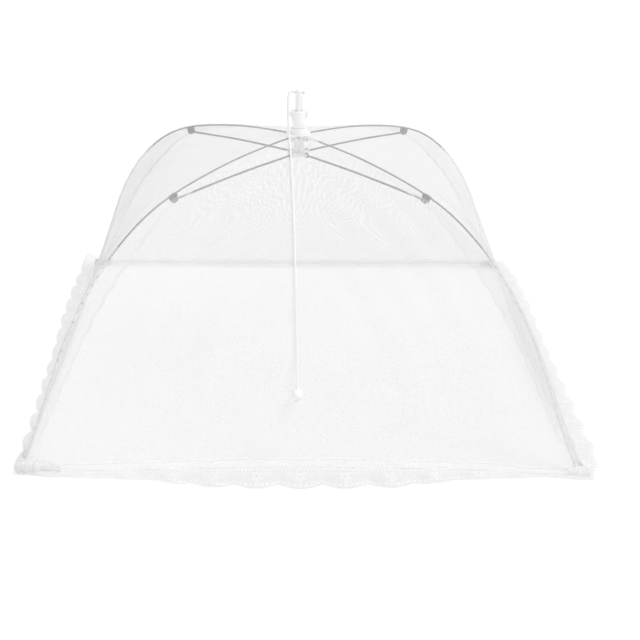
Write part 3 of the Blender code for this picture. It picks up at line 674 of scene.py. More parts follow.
def frames_along(path, cyclic):
    """Two unit vectors across the path at each point, which turn as little as they can."""
    if cyclic:
        step = np.roll(path, -1, axis=0) - np.roll(path, 1, axis=0)
    else:
        step = np.gradient(path, axis=0)
    step /= np.linalg.norm(step, axis=1)[:, None]
    first = np.cross(step[0], [0.0, 0.0, 1.0])
    if np.linalg.norm(first) < 0.1:
        first = np.cross(step[0], [1.0, 0.0, 0.0])
    side = [first / np.linalg.norm(first)]
    for forward in step[1:]:
        kept = side[-1] - forward * (side[-1] @ forward)
        side.append(kept / np.linalg.norm(kept))
    side = np.array(side)
    return side, np.cross(step, side)


def tube(name, path, radius, sides, cyclic=False, radius_at=None):
    """A round cord along path. radius_at gives a factor for each point and angle round it."""
    path = np.asarray(path, float)
    side, other = frames_along(path, cyclic)
    angle = np.arange(sides) * math.tau / sides
    steps = run_at(step_lengths(path))
    factor = np.ones((len(path), sides)) if radius_at is None else radius_at(steps, angle)
    cosine, sine = (turn(angle)[None, :, None] for turn in (np.cos, np.sin))
    ring = cosine * side[:, None] + sine * other[:, None]
    points = path[:, None] + ring * (radius * factor)[..., None]
    rows = len(path)
    index = np.arange(rows * sides).reshape(rows, sides)
    index = np.concatenate([index, index[:, :1]], axis=1)
    if cyclic:
        index = np.concatenate([index, index[:1]], axis=0)
        steps = np.append(steps, steps[-1] + np.linalg.norm(path[0] - path[-1]))
    faces = np.stack([index[:-1, :-1], index[1:, :-1], index[1:, 1:], index[:-1, 1:]], axis=-1)
    round_it = np.append(angle, math.tau) / math.tau
    u = np.broadcast_to(steps[:, None], (len(steps), sides + 1))
    v = np.broadcast_to(round_it[None, :], (len(steps), sides + 1))
    corners = [(slice(None, -1), slice(None, -1)), (slice(1, None), slice(None, -1))]
    corners += [(slice(1, None), slice(1, None)), (slice(None, -1), slice(1, None))]
    coordinates = np.stack([np.stack([u[c], v[c]], axis=-1) for c in corners], axis=-2)
    flat = points.reshape(-1, 3)
    faces, coordinates = faces.reshape(-1, 4), coordinates.reshape(-1, 4, 2)
    if not cyclic:
        middles = [len(flat), len(flat) + 1]
        flat = np.concatenate([flat, path[:1], path[-1:]])
        caps = [(middles[0], index[0, k], index[0, k + 1]) for k in range(sides)]
        caps += [(middles[1], index[-1, k + 1], index[-1, k]) for k in range(sides)]
        rim = np.concatenate([coordinates.reshape(-1, 2), np.zeros((len(caps) * 3, 2))])
        return add_mesh(name, flat, [*map(tuple, faces), *caps], rim)
    return add_mesh(name, flat, faces, coordinates)


# Pieces made with Blender's modelling operators


def let_go():
    """Leaves edit mode and deselects everything."""
    if bpy.context.object and bpy.context.object.mode != "OBJECT":
        bpy.ops.object.mode_set(mode="OBJECT")
    bpy.ops.object.select_all(action="DESELECT")


def hold(piece):
    """Makes piece the only selected object, and the active one."""
    let_go()
    piece.select_set(True)
    bpy.context.view_layer.objects.active = piece


def settle():
    """Puts the held object's place, turn and size in its mesh."""
    bpy.ops.object.transform_apply(location=True, rotation=True, scale=True)


def named(name):
    """Names the object just added, and puts its place in its mesh."""
    piece = bpy.context.object
    piece.name = piece.data.name = name
    settle()
    return piece


def end_edit():
    bpy.ops.object.mode_set(mode="OBJECT")


def start_edit(piece, kind=None, chosen=None):
    """Edit mode on piece, with all of it selected, or the faces or edges that chosen picks."""
    hold(piece)
    bpy.ops.object.mode_set(mode="EDIT")
    bpy.ops.mesh.select_all(action="DESELECT" if kind else "SELECT")
    if kind:
        end_edit()
        for element in piece.data.edges if kind == "EDGE" else piece.data.polygons:
            element.select = chosen(element)
        bpy.ops.object.mode_set(mode="EDIT")
        bpy.ops.mesh.select_mode(type=kind)


def block(name, low, high):
    low, high = Vector(low), Vector(high)
    let_go()
    bpy.ops.mesh.primitive_cube_add(size=1, location=(low + high) / 2)
    bpy.context.object.scale = high - low
    return named(name)


def bar(name, start, end, radius, sides=24):
    """A round bar between two points."""
    start, end = Vector(start), Vector(end)
    let_go()
    bpy.ops.mesh.primitive_cylinder_add(
        vertices=sides,
        radius=radius,
        depth=(end - start).length,
        location=(start + end) / 2,
        rotation=(end - start).to_track_quat("Z", "Y").to_euler(),
    )
    return named(name)


def turned_piece(name, profile, sides):
    """A ring at the profile's first (radius, height), drawn out ring by ring and closed."""
    radius, height = profile[0]
    let_go()
    bpy.ops.mesh.primitive_circle_add(
        vertices=sides, radius=radius, fill_type="NOTHING", location=(0, 0, height)
    )
    piece = named(name)
    start_edit(piece)
    for next_radius, next_height in profile[1:]:
        rise = (0, 0, next_height - height)
        bpy.ops.mesh.extrude_edges_move(TRANSFORM_OT_translate={"value": rise})
        grow = next_radius / radius
        bpy.ops.transform.resize(value=(grow, grow, 1), center_override=(0, 0, next_height))
        radius, height = next_radius, next_height
    bpy.ops.mesh.select_all(action="SELECT")
    bpy.ops.mesh.remove_doubles(threshold=0.000006)
    bpy.ops.mesh.normals_make_consistent(inside=False)
    end_edit()
    return piece


def turned_ring(name, profile, sides=64):
    """A turned piece whose profile closes on itself."""
    return turned_piece(name, [*profile, profile[0]], sides)


def combined(piece, tool, operation):
    """Joins tool to piece or cuts it away, and removes the tool."""
    hold(piece)
    boolean = piece.modifiers.new(operation.lower(), "BOOLEAN")
    boolean.operation = operation
    boolean.solver = "EXACT"
    boolean.object = tool
    bpy.ops.object.modifier_apply(modifier=boolean.name)
    bpy.data.objects.remove(tool, do_unlink=True)
    return piece


def bevelled(piece, width, segments=3, angle=30):
    """Rounds the edges of piece that are sharper than angle."""
    hold(piece)
    bevel = piece.modifiers.new("rounding", "BEVEL")
    bevel.width = width
    bevel.segments = segments
    bevel.limit_method = "ANGLE"
    bevel.angle_limit = math.radians(angle)
    bpy.ops.object.modifier_apply(modifier=bevel.name)


def rounded(piece, width, segments=3, angle=32):
    """Rounds the sharp edges of piece and smooths its shading."""
    bevelled(piece, width, segments, angle)
    bpy.ops.object.shade_smooth_by_angle(angle=math.radians(40))
    return piece


def welded(piece):
    """Merges the loose corners that a cut leaves."""
    start_edit(piece)
    bpy.ops.mesh.remove_doubles(threshold=0.00001)
    bpy.ops.mesh.dissolve_limited(angle_limit=math.radians(0.5))
    end_edit()
    return piece


def bent_wire(name, places, radius):
    """A round wire: a path is added, bent through the places, given its thickness and meshed."""
    let_go()
    bpy.ops.curve.primitive_nurbs_path_add(location=(0, 0, 0))
    wire = bpy.context.object
    wire.name = wire.data.name = name
    wire.data.splines.clear()
    spline = wire.data.splines.new("POLY")
    spline.points.add(len(places) - 1)
    spline.points.foreach_set("co", np.c_[np.asarray(places, float), np.ones(len(places))].ravel())
    wire.data.dimensions = "3D"
    wire.data.bevel_depth = radius
    wire.data.bevel_resolution = 3
    wire.data.use_fill_caps = True
    bpy.ops.object.convert(target="MESH")
    wire = bpy.context.object
    wire.data.name = name
    bpy.ops.object.shade_smooth_by_angle(angle=math.radians(60))
    return wire


def turned_about_axis(piece, angle, name):
    """A copy of piece with its own mesh, turned about the hub's axis."""
    hold(piece)
    bpy.ops.object.duplicate(linked=False)
    copy = bpy.context.object
    copy.name = copy.data.name = name
    copy.rotation_euler.z = angle
    settle()
    return copy


# Node groups and materials


class Signal:
    """What a node puts out. Arithmetic on signals places Math nodes in their tree."""

    def __init__(self, socket):
        self.socket = socket
        self.tree = socket.id_data

    def __add__(self, other):
        return calc("ADD", self, other)

    def __sub__(self, other):
        return calc("SUBTRACT", self, other)

    def __rsub__(self, other):
        return calc("SUBTRACT", other, self)

    def __mul__(self, other):
        return calc("MULTIPLY", self, other)

    def __truediv__(self, other):
        return calc("DIVIDE", self, other)

    def __abs__(self):
        return calc("ABSOLUTE", self)


def feed(target, value):
    """Links a signal to a node's socket, or sets a plain value on it."""
    if isinstance(value, Signal):
        value.tree.links.new(value.socket, target)
    else:
        target.default_value = value


def add_node(tree, kind, inputs=None, output=0, **settings):
    """Adds a node with these inputs and settings, and gives one of its outputs."""
    node = tree.nodes.new(kind)
    for name, value in settings.items():
        setattr(node, name, value)
    for key, value in (inputs or {}).items():
        feed(node.inputs[key], value)
    return Signal(node.outputs[output])


def calc(operation, *values):
    """One Math node's result, in the tree of the signals among its values."""
    tree = next(value.tree for value in values if isinstance(value, Signal))
    return add_node(tree, "ShaderNodeMath", dict(enumerate(values)), operation=operation)


def greatest(*values):
    """The greatest of the values at each place."""
    most = values[0]
    for value in values[1:]:
        most = calc("MAXIMUM", most, value)
    return most


def fade(value, low, high, start=0.0, end=1.0):
    """value turned smoothly from start at low to end at high."""
    inputs = {0: value, 1: low, 2: high, 3: start, 4: end}
    smooth = {"interpolation_type": "SMOOTHSTEP", "clamp": True}
    return add_node(value.tree, "ShaderNodeMapRange", inputs, **smooth)


def mixed(share, first, second):
    """A colour between two."""
    node = share.tree.nodes.new("ShaderNodeMix")
    node.data_type = "RGBA"
    for index, value in ((0, share), (6, first), (7, second)):
        feed(node.inputs[index], value)
    return Signal(node.outputs[2])


def parts_of(vector):
    """The first two parts of a vector."""
    node = vector.tree.nodes.new("ShaderNodeSeparateXYZ")
    feed(node.inputs[0], vector)
    return Signal(node.outputs[0]), Signal(node.outputs[1])


def clouds(vector, scale, detail, roughness=0.5):
    inputs = {"Vector": vector, "Scale": scale, "Detail": detail, "Roughness": roughness}
    return add_node(vector.tree, "ShaderNodeTexNoise", inputs)


def wave(value):
    """A zigzag from 1 down to 0 and up again for each whole step of value."""
    return abs(calc("FRACT", value) - 0.5) * 2.0


def net_weave(vector, pitch, thread):
    """Knotted diamond net: where its thread is, and how high it stands."""
    shift = (clouds(vector, 620.0, 2.0) - 0.5) * (pitch * 0.5)
    u, v = parts_of(vector)
    u, v = u + shift, v - shift
    ridges = wave((u + v) / pitch), wave((u - v) / pitch)
    raised = greatest(*ridges) + ridges[0] * ridges[1] * 0.16
    edge = 1.0 - thread
    return {"Cover": fade(raised, edge - 0.03, edge + 0.10), "Height": raised}


def cloth_tone(vector, fibre_size, amount):
    """Soft uneven whiteness, crumple and fibre of thin white cloth."""
    fine = clouds(vector, fibre_size, 3.0, 0.6)
    uneven = clouds(vector, 14.0, 4.0, 0.55) * 0.7 + fine * 0.3 - 0.5
    return {"Tone": uneven * amount + 1.0, "Height": fine}


def running_stitch(vector, pitch, length, width, place):
    """A row of straight stitches along the first coordinate."""
    u, v = parts_of(vector)
    reach = abs(calc("FRACT", u / pitch) - 0.5) / (length * 0.5)
    off = abs(v - place) / (width * 0.5)
    thread = fade(reach, 0.85, 1.1, 1.0, 0.0) * fade(off, 0.8, 1.15, 1.0, 0.0)
    return {"Thread": thread, "Height": thread * 0.9 + fade(off, 0.5, 4.0) * 0.8}


def disc(u, v, centre, radius):
    """1 inside a circle round centre, in the units of u and v."""
    across, along = u - centre[0], v - centre[1]
    away = calc("SQRT", across * across + along * along) / radius
    return fade(away, 0.88, 1.12, 1.0, 0.0)


LACE_FLOWER = (
    ((0.0, 0.50), 0.20),
    ((0.0, 0.74), 0.105),
    ((0.22, 0.60), 0.105),
    ((0.17, 0.33), 0.105),
    ((0.52, 0.36), 0.13),
)
LACE_EYELETS = (((0.0, 0.50), 0.070), ((0.52, 0.36), 0.055))
LACE_ROWS = ((12.0, 0.19, 0.22, 0.050), (8.0, 0.28, 0.915, 0.042))  # count, pitch, place, radius


def lace_pattern(vector, shape):
    """Scalloped lace: one flower and a ring of eyelets for each scallop, on a fine ground.

    The first coordinate counts scallops; the second runs from 0 at the hem to 1 at the edge.
    """
    u, v = parts_of(vector)
    near = abs((calc("FRACT", u) - 0.5) * shape)
    flower = [disc(near, v, *spot) for spot in LACE_FLOWER]
    dense = greatest(*flower, fade(v, 0.83, 0.87), fade(v, 0.10, 0.14, 1.0, 0.0))
    eyelets = [disc(near, v, *spot) for spot in LACE_EYELETS]
    for count, pitch, place, radius in LACE_ROWS:
        row = (calc("FRACT", u * count) - 0.5) * pitch
        eyelets.append(disc(row, v, (0.0, place), radius))
    holes = greatest(*eyelets) * 0.3
    slanted = [calc(way, u * 26.0, v * 12.0) for way in ("ADD", "SUBTRACT")]
    ground = fade(greatest(*map(wave, slanted)), 0.40, 0.56)
    threads = calc("SINE", v * 190.0) * dense
    return {
        "Cover": greatest(ground, dense) * (1.0 - holes),
        "Height": dense + threads * 0.12 - holes,
        "Dense": dense,
    }


def moulded_plastic(vector, edge, wear):
    """Injection-moulded plastic: slight flow marks, fine grain and handling scuffs."""
    flow = clouds(vector, 130.0, 3.0)
    stretch = {"Vector": vector, "Scale": (1.0, 1.0, 0.12)}
    drawn_out = add_node(vector.tree, "ShaderNodeMapping", stretch)
    scuffs = fade(clouds(drawn_out, 1500.0, 4.0, 0.65), 0.60, 0.72)
    return {
        "Tone": flow * 0.03 + 0.985 + fade(edge, 0.52, 0.60) * wear - scuffs * 0.02,
        "Roughness": flow * 0.16 + 0.30 + scuffs * 0.12,
        "Height": clouds(vector, 4200.0, 2.0, 0.6) + flow * 2.0,
    }


def drawn_steel(vector, edge):
    """Cold-drawn wire and pressed sheet: dull film, die lines and bright rubbed places."""
    film = clouds(vector, 210.0, 4.0, 0.6)
    rubbed = greatest(fade(film, 0.62, 0.75), fade(edge, 0.53, 0.60))
    return {
        "Tone": film * 0.35 + 0.80 + rubbed * 0.7,
        "Roughness": fade(film, 0.3, 0.7, 0.42, 0.26),
        "Height": clouds(vector, 5200.0, 2.0),
    }


def yarn_fibres(vector, twist):
    """Fibres that run along a twisted yarn."""
    u, v = parts_of(vector)
    stretched = {"X": u * 500.0, "Y": (v - u / twist) * 30.0}
    fibre = clouds(add_node(vector.tree, "ShaderNodeCombineXYZ", stretched), 1.0, 4.0, 0.6)
    return {"Tone": fibre * 0.11 + 0.93, "Height": fibre}


# Each effect's name, formula and numbers, in the formula's order
EFFECTS = {
    "net": ("Net weave", net_weave, {"Pitch": 0.0014, "Thread": 0.22}),
    "tone": ("Cloth tone", cloth_tone, {"Fibre size": 900.0, "Amount": 0.05}),
    "stitch": (
        "Running stitch",
        running_stitch,
        {"Pitch": 0.003, "Length": 0.72, "Width": 0.0007, "Place": 0.002},
    ),
    "lace": ("Lace pattern", lace_pattern, {"Shape": 2.2}),
    "moulded": ("Moulded plastic", moulded_plastic, {"Edge": 0.5, "Wear": 0.06}),
    "steel": ("Drawn steel", drawn_steel, {"Edge": 0.5}),
    "yarn": ("Yarn fibres", yarn_fibres, {"Twist": 0.0052}),
}
made_groups = {}


def made_group(label, formula, numbers):
    """A shader node group from a formula on its inputs, which are a vector and these numbers."""
    tree = bpy.data.node_groups.new(label, "ShaderNodeTree")
    sockets = tree.interface
    sockets.new_socket(name="Vector", in_out="INPUT", socket_type="NodeSocketVector")
    for name, value in numbers.items():
        made = sockets.new_socket(name=name, in_out="INPUT", socket_type="NodeSocketFloat")
        made.default_value = value
    given = tree.nodes.new("NodeGroupInput").outputs
    results = formula(*(Signal(given[name]) for name in ("Vector", *numbers)))
    for name in results:
        sockets.new_socket(name=name, in_out="OUTPUT", socket_type="NodeSocketFloat")
    wanted = tree.nodes.new("NodeGroupOutput").inputs
    for name, result in results.items():
        feed(wanted[name], result)
    return tree


def effect(kind, vector, **numbers):
    """Places an effect's node group, which is made once, and gives its outputs by name."""
    if kind not in made_groups:
        made_groups[kind] = made_group(*EFFECTS[kind])
    node = vector.tree.nodes.new("ShaderNodeGroup")
    node.node_tree = made_groups[kind]
    feed(node.inputs["Vector"], vector)
    for name, value in numbers.items():
        feed(node.inputs[name.replace("_", " ")], value)
    return {output.name: Signal(output) for output in node.outputs}


def new_material(name, **plain):
    """A new material with plain values on its shader, as (material, the shader's inputs)."""
    material = bpy.data.materials.new(name)
    material.use_nodes = True
    shader = material.node_tree.nodes["Principled BSDF"].inputs
    for label, value in plain.items():
        shader[label.replace("_", " ")].default_value = value
    return material, shader


def new_cloth(name, roughness, specular, sheen):
    """A new material for cloth or yarn, with the piece's own UV map as its third value."""
    plain = {"Roughness": roughness, "Specular_IOR_Level": specular, "Sheen_Weight": sheen}
    material, shader = new_material(name, **plain)
    cut = add_node(material.node_tree, "ShaderNodeUVMap", uv_map="cut")
    return material, shader, cut


def raise_surface(shader, height, distance, strength):
    inputs = {"Strength": strength, "Distance": distance, "Height": height}
    feed(shader["Normal"], add_node(height.tree, "ShaderNodeBump", inputs))


def tinted(colour, tone, share=1.0):
    """That share of colour, made lighter or darker by tone."""
    inputs = {0: tuple(part * share for part in colour), "Scale": tone}
    return add_node(tone.tree, "ShaderNodeVectorMath", inputs, operation="SCALE")


def see_through(shader, cover, shadow_share):
    """Shows the cloth's threads, and lets light through them as fine white yarn does."""
    shadow = add_node(cover.tree, "ShaderNodeLightPath", output="Is Shadow Ray")
    feed(shader["Alpha"], cover * (1.0 - shadow * (1.0 - shadow_share)))


def paint_glow(shader, colour, strength):
    """A glow painted on fine white yarn as emission, in place of the light that reaches it from
    behind, which an opaque shader leaves out.
    """
    shader["Emission Color"].default_value = (*colour, 1.0)
    shader["Emission Strength"].default_value = strength


def net_material(name, colour, pitch, thread, shadow_share, painted_glow=0.0):
    material, shader, cut = new_cloth(name, 0.85, 0.2, 0.15)
    weave = effect("net", cut, Pitch=pitch, Thread=thread)
    tone = effect("tone", cut, Fibre_size=1400.0, Amount=0.10)
    feed(shader["Base Color"], tinted(colour, tone["Tone"]))
    see_through(shader, weave["Cover"], shadow_share)
    # Painted glow, when a strength is given: emission in place of the light that comes through the
    # yarn
    paint_glow(shader, colour, painted_glow)
    raise_surface(shader, weave["Height"], 0.0002, 0.6)
    return material


def hem_material(colour, pitch, net_pitch, shadow_share):
    """Folded net, closed up by two rows of stitches and by its own folds."""
    material, shader, cut = new_cloth("hem_cloth", 0.88, 0.2, 0.2)
    tone = effect("tone", cut, Fibre_size=2600.0, Amount=0.16)
    upper, lower = (
        effect("stitch", cut, Pitch=pitch, Length=0.74, Width=0.0008, Place=place)
        for place in HEM_STITCHES
    )
    thread = greatest(upper["Thread"], lower["Thread"])
    u, v = parts_of(cut)
    turn = math.tau / HEM_WEAVE
    weave = calc("SINE", v * turn) * calc("SINE", u * turn)
    cloth = tinted(colour, tone["Tone"] + weave * 0.025, 0.94)
    feed(shader["Base Color"], mixed(thread, cloth, (*colour, 1.0)))
    raise_surface(shader, upper["Height"] + lower["Height"] + weave * 0.12, 0.0003, 0.3)
    net = effect("net", cut, Pitch=0.7 * net_pitch, Thread=0.22)
    edges = fade(abs(v - HEM_WIDTH / 2), 0.0034, 0.0044, 0.0, 0.38)
    see_through(shader, greatest(net["Cover"], thread, edges), shadow_share)
    # Painted glow: the hem gives off light as emission, in place of the light that comes through
    # the cloth
    paint_glow(shader, colour, YARN_PAINTED_GLOW)
    return material


def lace_material(colour, shadow_share):
    material, shader, cut = new_cloth("lace_thread", 0.88, 0.2, 0.2)
    lace = effect("lace", cut)
    tone = effect("tone", cut, Fibre_size=60.0, Amount=0.14)["Tone"]
    dark, light = tinted(colour, tone, 0.91), tinted(colour, tone, 0.94)
    feed(shader["Base Color"], mixed(lace["Dense"], dark, light))
    see_through(shader, lace["Cover"], shadow_share)
    raise_surface(shader, lace["Height"], 0.00012, 0.3)
    return material


def yarn_material(name, colour, twist, relief, painted_glow=0.0):
    material, shader, cut = new_cloth(name, 0.82, 0.25, 0.25)
    yarn = effect("yarn", cut, Twist=twist)
    feed(shader["Base Color"], tinted(colour, yarn["Tone"]))
    raise_surface(shader, yarn["Height"], relief, 0.7)
    # Painted glow, when a strength is given: the thread gives off light as emission
    paint_glow(shader, colour, painted_glow)
    return material


def hard_material(name, kind, colour, metallic, numbers):
    """Plastic or steel, whose own effect says how rough it is."""
    material, shader = new_material(name, Metallic=metallic)
    tree = material.node_tree
    place = add_node(tree, "ShaderNodeTexCoord", output="Object")
    edge = add_node(tree, "ShaderNodeNewGeometry", output="Pointiness")
    finish = effect(kind, place, Edge=edge, **numbers)
    feed(shader["Base Color"], tinted(colour, finish["Tone"]))
    feed(shader["Roughness"], finish["Roughness"])
    raise_surface(shader, finish["Height"], 0.00002, 0.5)
    return material


finishes = {}


def finish_of(kind):
    """The finish named kind, made once from the scene's settings."""
    if kind in finishes:
        return finishes[kind]
    scene = bpy.context.scene
    cloth, wire, plastic = scene.cover_cloth, scene.cover_wire, scene.cover_plastic
    cord = scene.cover_string
    share, pitch, trim = cloth.shadow_share, cloth.mesh_pitch, cloth.trim_colour
    makers = {
        "net": (net_material, "net_thread", cloth.net_colour, pitch, cloth.thread_share, share),
        # The seam allowance, the gathered net and the sewing thread give off a painted glow as
        # emission
        "strip": (net_material, "seam_allowance", trim, pitch, 0.11, share, YARN_PAINTED_GLOW),
        "gathers": (net_material, "gathered_net", trim, pitch, 0.80, share, YARN_PAINTED_GLOW),
        "hem": (hem_material, trim, cloth.stitch_pitch, pitch, share),
        "lace": (lace_material, trim, share),
        "thread": (yarn_material, "sewing_thread", trim, 0.0016, 0.00002, THREAD_PAINTED_GLOW),
        "string": (yarn_material, "string_yarn", cord.colour, cord.twist_pitch, 0.00010),
        "steel": (hard_material, "sprung_steel", "steel", wire.steel_colour, 0.9, {}),
        "clip": (hard_material, "pressed_clip", "steel", wire.clip_colour, 0.9, {}),
        "white": (hard_material, "white_moulding", "moulded", plastic.white, 0.0, {"Wear": 0.06}),
        "grey": (hard_material, "grey_moulding", "moulded", plastic.grey, 0.0, {"Wear": 0.14}),
    }
    make, *values = makers[kind]
    finishes[kind] = make(*values)
    return finishes[kind]


def dress(piece, kind, body, *nodes):
    """Gives piece its finish and the body that it rides on, and hides the solids that it stands
    for.
    """
    piece.data.materials.clear()
    piece.data.materials.append(finish_of(kind))
    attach(piece, body)
    if nodes:
        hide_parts(*nodes)
    return piece


def dress_node(name, kind):
    """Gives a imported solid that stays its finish."""
    node = bpy.data.objects[name]
    node.data.materials.clear()
    node.data.materials.append(finish_of(kind))


def fold_flat(piece):
    """Gives piece its own copy of its mesh."""
    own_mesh(piece)


# Operators


class COVER_OT_stage(bpy.types.Operator):
    """Lays the floor, hangs the lights and sets the camera as in the photograph"""

    bl_idname = "cover.stage"
    bl_label = "Stage"

    def execute(self, context):
        settings = context.scene.cover_stage
        self.lay_floor(settings)
        self.light_sky(context.scene, settings)
        let_go()
        bpy.ops.object.light_add(type="SUN", rotation=[math.radians(a) for a in SUN_TURN])
        sun = context.object
        sun.name = "key_light"
        sun.data.energy = settings.sun
        sun.data.angle = math.radians(SUN_SIZE)
        self.set_camera(context.scene, settings)
        context.scene.view_settings.view_transform = "Standard"
        context.scene.cycles.transparent_max_bounces = 24
        return {"FINISHED"}

    def lay_floor(self, settings):
        let_go()
        bpy.ops.mesh.primitive_plane_add(size=FLOOR_SIZE, location=(0, 0, 0))
        floor = named("floor")
        material, shader = new_material("floor_paper", Roughness=1.0, Specular_IOR_Level=0.0)
        shader["Base Color"].default_value = (*settings.floor_colour, 1.0)
        shader["Emission Color"].default_value = (1.0, 1.0, 1.0, 1.0)
        seen = self.seen_directly(material.node_tree)
        feed(shader["Emission Strength"], seen * settings.floor_lift)
        floor.data.materials.append(material)

    def seen_directly(self, tree):
        """1 for what the camera sees, also in a mirror or through glass."""
        rays = tree.nodes.new("ShaderNodeLightPath").outputs
        kinds = ("Camera", "Glossy", "Transmission")
        return greatest(*(Signal(rays[f"Is {kind} Ray"]) for kind in kinds))

    def light_sky(self, scene, settings):
        world = bpy.data.worlds.new("studio")
        scene.world = world
        world.use_nodes = True
        tree = world.node_tree
        sky = tree.nodes["Background"]
        sky.inputs["Color"].default_value = (1.0, 1.0, 1.0, 1.0)
        seen = self.seen_directly(tree)
        feed(sky.inputs["Strength"], seen * (1.0 - settings.sky) + settings.sky)

    def set_camera(self, scene, settings):
        let_go()
        bpy.ops.object.camera_add()
        camera = bpy.context.object
        camera.name = "photo_camera"
        camera.data.lens = settings.lens
        camera.data.shift_x, camera.data.shift_y = CAMERA_SHIFT
        camera.data.clip_start, camera.data.clip_end = 0.02, 50
        pitch, yaw, roll = (math.radians(a) for a in CAMERA_TURN)
        ahead = Vector(
            (math.sin(yaw) * math.cos(pitch), math.cos(yaw) * math.cos(pitch), -math.sin(pitch))
        )
        right = Vector((math.cos(yaw), -math.sin(yaw), 0))
        down = ahead.cross(right)
        level = right * math.cos(roll) + down * math.sin(roll)
        drop = down * math.cos(roll) - right * math.sin(roll)
        turn = Matrix((level, -drop, -ahead)).transposed().to_4x4()
        camera.matrix_world = Matrix.Translation(CAMERA_PLACE) @ turn
        scene.camera = camera


class COVER_OT_hub(bpy.types.Operator):
    """Models the slotted tube with its four forked ears, and the runner at the foot of the post"""

    bl_idname = "cover.hub"
    bl_label = "Hub and runner"

    def execute(self, context):
        rounding = context.scene.cover_plastic.rounding
        tube_profile = [
            (POST_BORE, TUBE_FOOT),
            (TUBE_RADIUS - 0.0003, TUBE_FOOT),
            (TUBE_RADIUS, TUBE_FOOT + 0.0008),
            (TUBE_RADIUS, TUBE_TOP),
            (POST_BORE, TUBE_TOP),
        ]
        hub = turned_ring("slotted_hub", tube_profile)
        eye_room = RIB_EYE + RIB_WIRE / 2 + CLEARANCE
        self.add_ears(hub, RIB_PIN_RADIUS, RIB_PIN_HEIGHT, *HUB_EAR, eye_room)
        for quarter in range(4):
            for low, high in TUBE_SLOTS:
                self.cut_slot(hub, low, high, quarter)
        self.round_fingers(hub)
        rounded(welded(hub), rounding * 0.6, segments=2)
        dress(hub, "grey", "crown", "crown_hub")

        foot, top = KNUCKLE_HEIGHT - RUNNER_SKIRT, TUBE_FOOT - CLEARANCE
        ring_profile = [
            (RUNNER_SOCKET, foot),
            (RUNNER_RADIUS - 0.0003, foot),
            (RUNNER_RADIUS, foot + 0.0004),
            (RUNNER_RADIUS, top - 0.0004),
            (RUNNER_RADIUS - 0.0003, top),
            (RUNNER_SOCKET, top),
        ]
        runner = turned_ring("runner_ring", ring_profile)
        self.add_ears(runner, KNUCKLE_RADIUS, KNUCKLE_HEIGHT, *RUNNER_EAR, RUNNER_EAR_ROOM)
        rounded(welded(runner), rounding * 0.6, segments=2)
        dress(runner, "grey", "runner", "runner")
        return {"FINISHED"}

    def add_ears(self, piece, radius, height, over, reach, room):
        """Four forked ears whose round ends carry a pin each."""
        half = EAR_WIDTH / 2
        root = (POST_BORE + TUBE_RADIUS) / 2
        ear = block("ear", (root, -half, height - over), (radius, half, height + over))
        end = bar("ear_end", (radius, -half, height), (radius, half, height), over, 40)
        start_edit(end)
        bpy.ops.transform.resize(value=(reach / over, 1, 1), center_override=(radius, 0, height))
        end_edit()
        combined(ear, end, "UNION")
        slit = half - EAR_WALL
        low, high = height - over - 0.002, height + over + 0.002
        fork = block("fork", (radius - room, -slit, low), (radius + reach + 0.002, slit, high))
        combined(ear, fork, "DIFFERENCE")
        hole = bar("hole", (radius, -EAR_WIDTH, height), (radius, EAR_WIDTH, height), PIN_HOLE)
        combined(ear, hole, "DIFFERENCE")
        for quarter in range(4):
            copy = turned_about_axis(ear, QUARTER / 2 + quarter * QUARTER, "ear_copy")
            combined(piece, copy, "UNION")
        bpy.data.objects.remove(ear, do_unlink=True)

    def cut_slot(self, hub, low, high, quarter):
        """A slot with a round top through one wall of the tube."""
        inner, outer = POST_BORE / 2, TUBE_RADIUS + 0.002
        slot = block("slot", (inner, -SLOT_HALF, low), (outer, SLOT_HALF, high))
        end = bar("slot_end", (inner, 0, high), (outer, 0, high), SLOT_HALF)
        combined(slot, end, "UNION")
        copy = turned_about_axis(slot, quarter * QUARTER, "slot_copy")
        combined(hub, copy, "DIFFERENCE")
        bpy.data.objects.remove(slot, do_unlink=True)

    def round_fingers(self, hub):
        """Rounds the corners of the four fingers that the slots leave at the tube's foot."""
        welded(hub)
        vertices = hub.data.vertices

        def at_finger_end(edge):
            a, b = (vertices[k].co for k in edge.vertices)
            near_foot = max(a.z, b.z) < TUBE_FOOT + 0.0012
            radial = abs(a.xy.length - b.xy.length) > 0.0002
            beside_slot = min(abs(a.x), abs(a.y)) < 0.0011
            return near_foot and radial and beside_slot

        start_edit(hub, "EDGE", at_finger_end)
        bpy.ops.mesh.bevel(offset=FINGER_ROUNDING, segments=5, profile=0.5, clamp_overlap=True)
        end_edit()


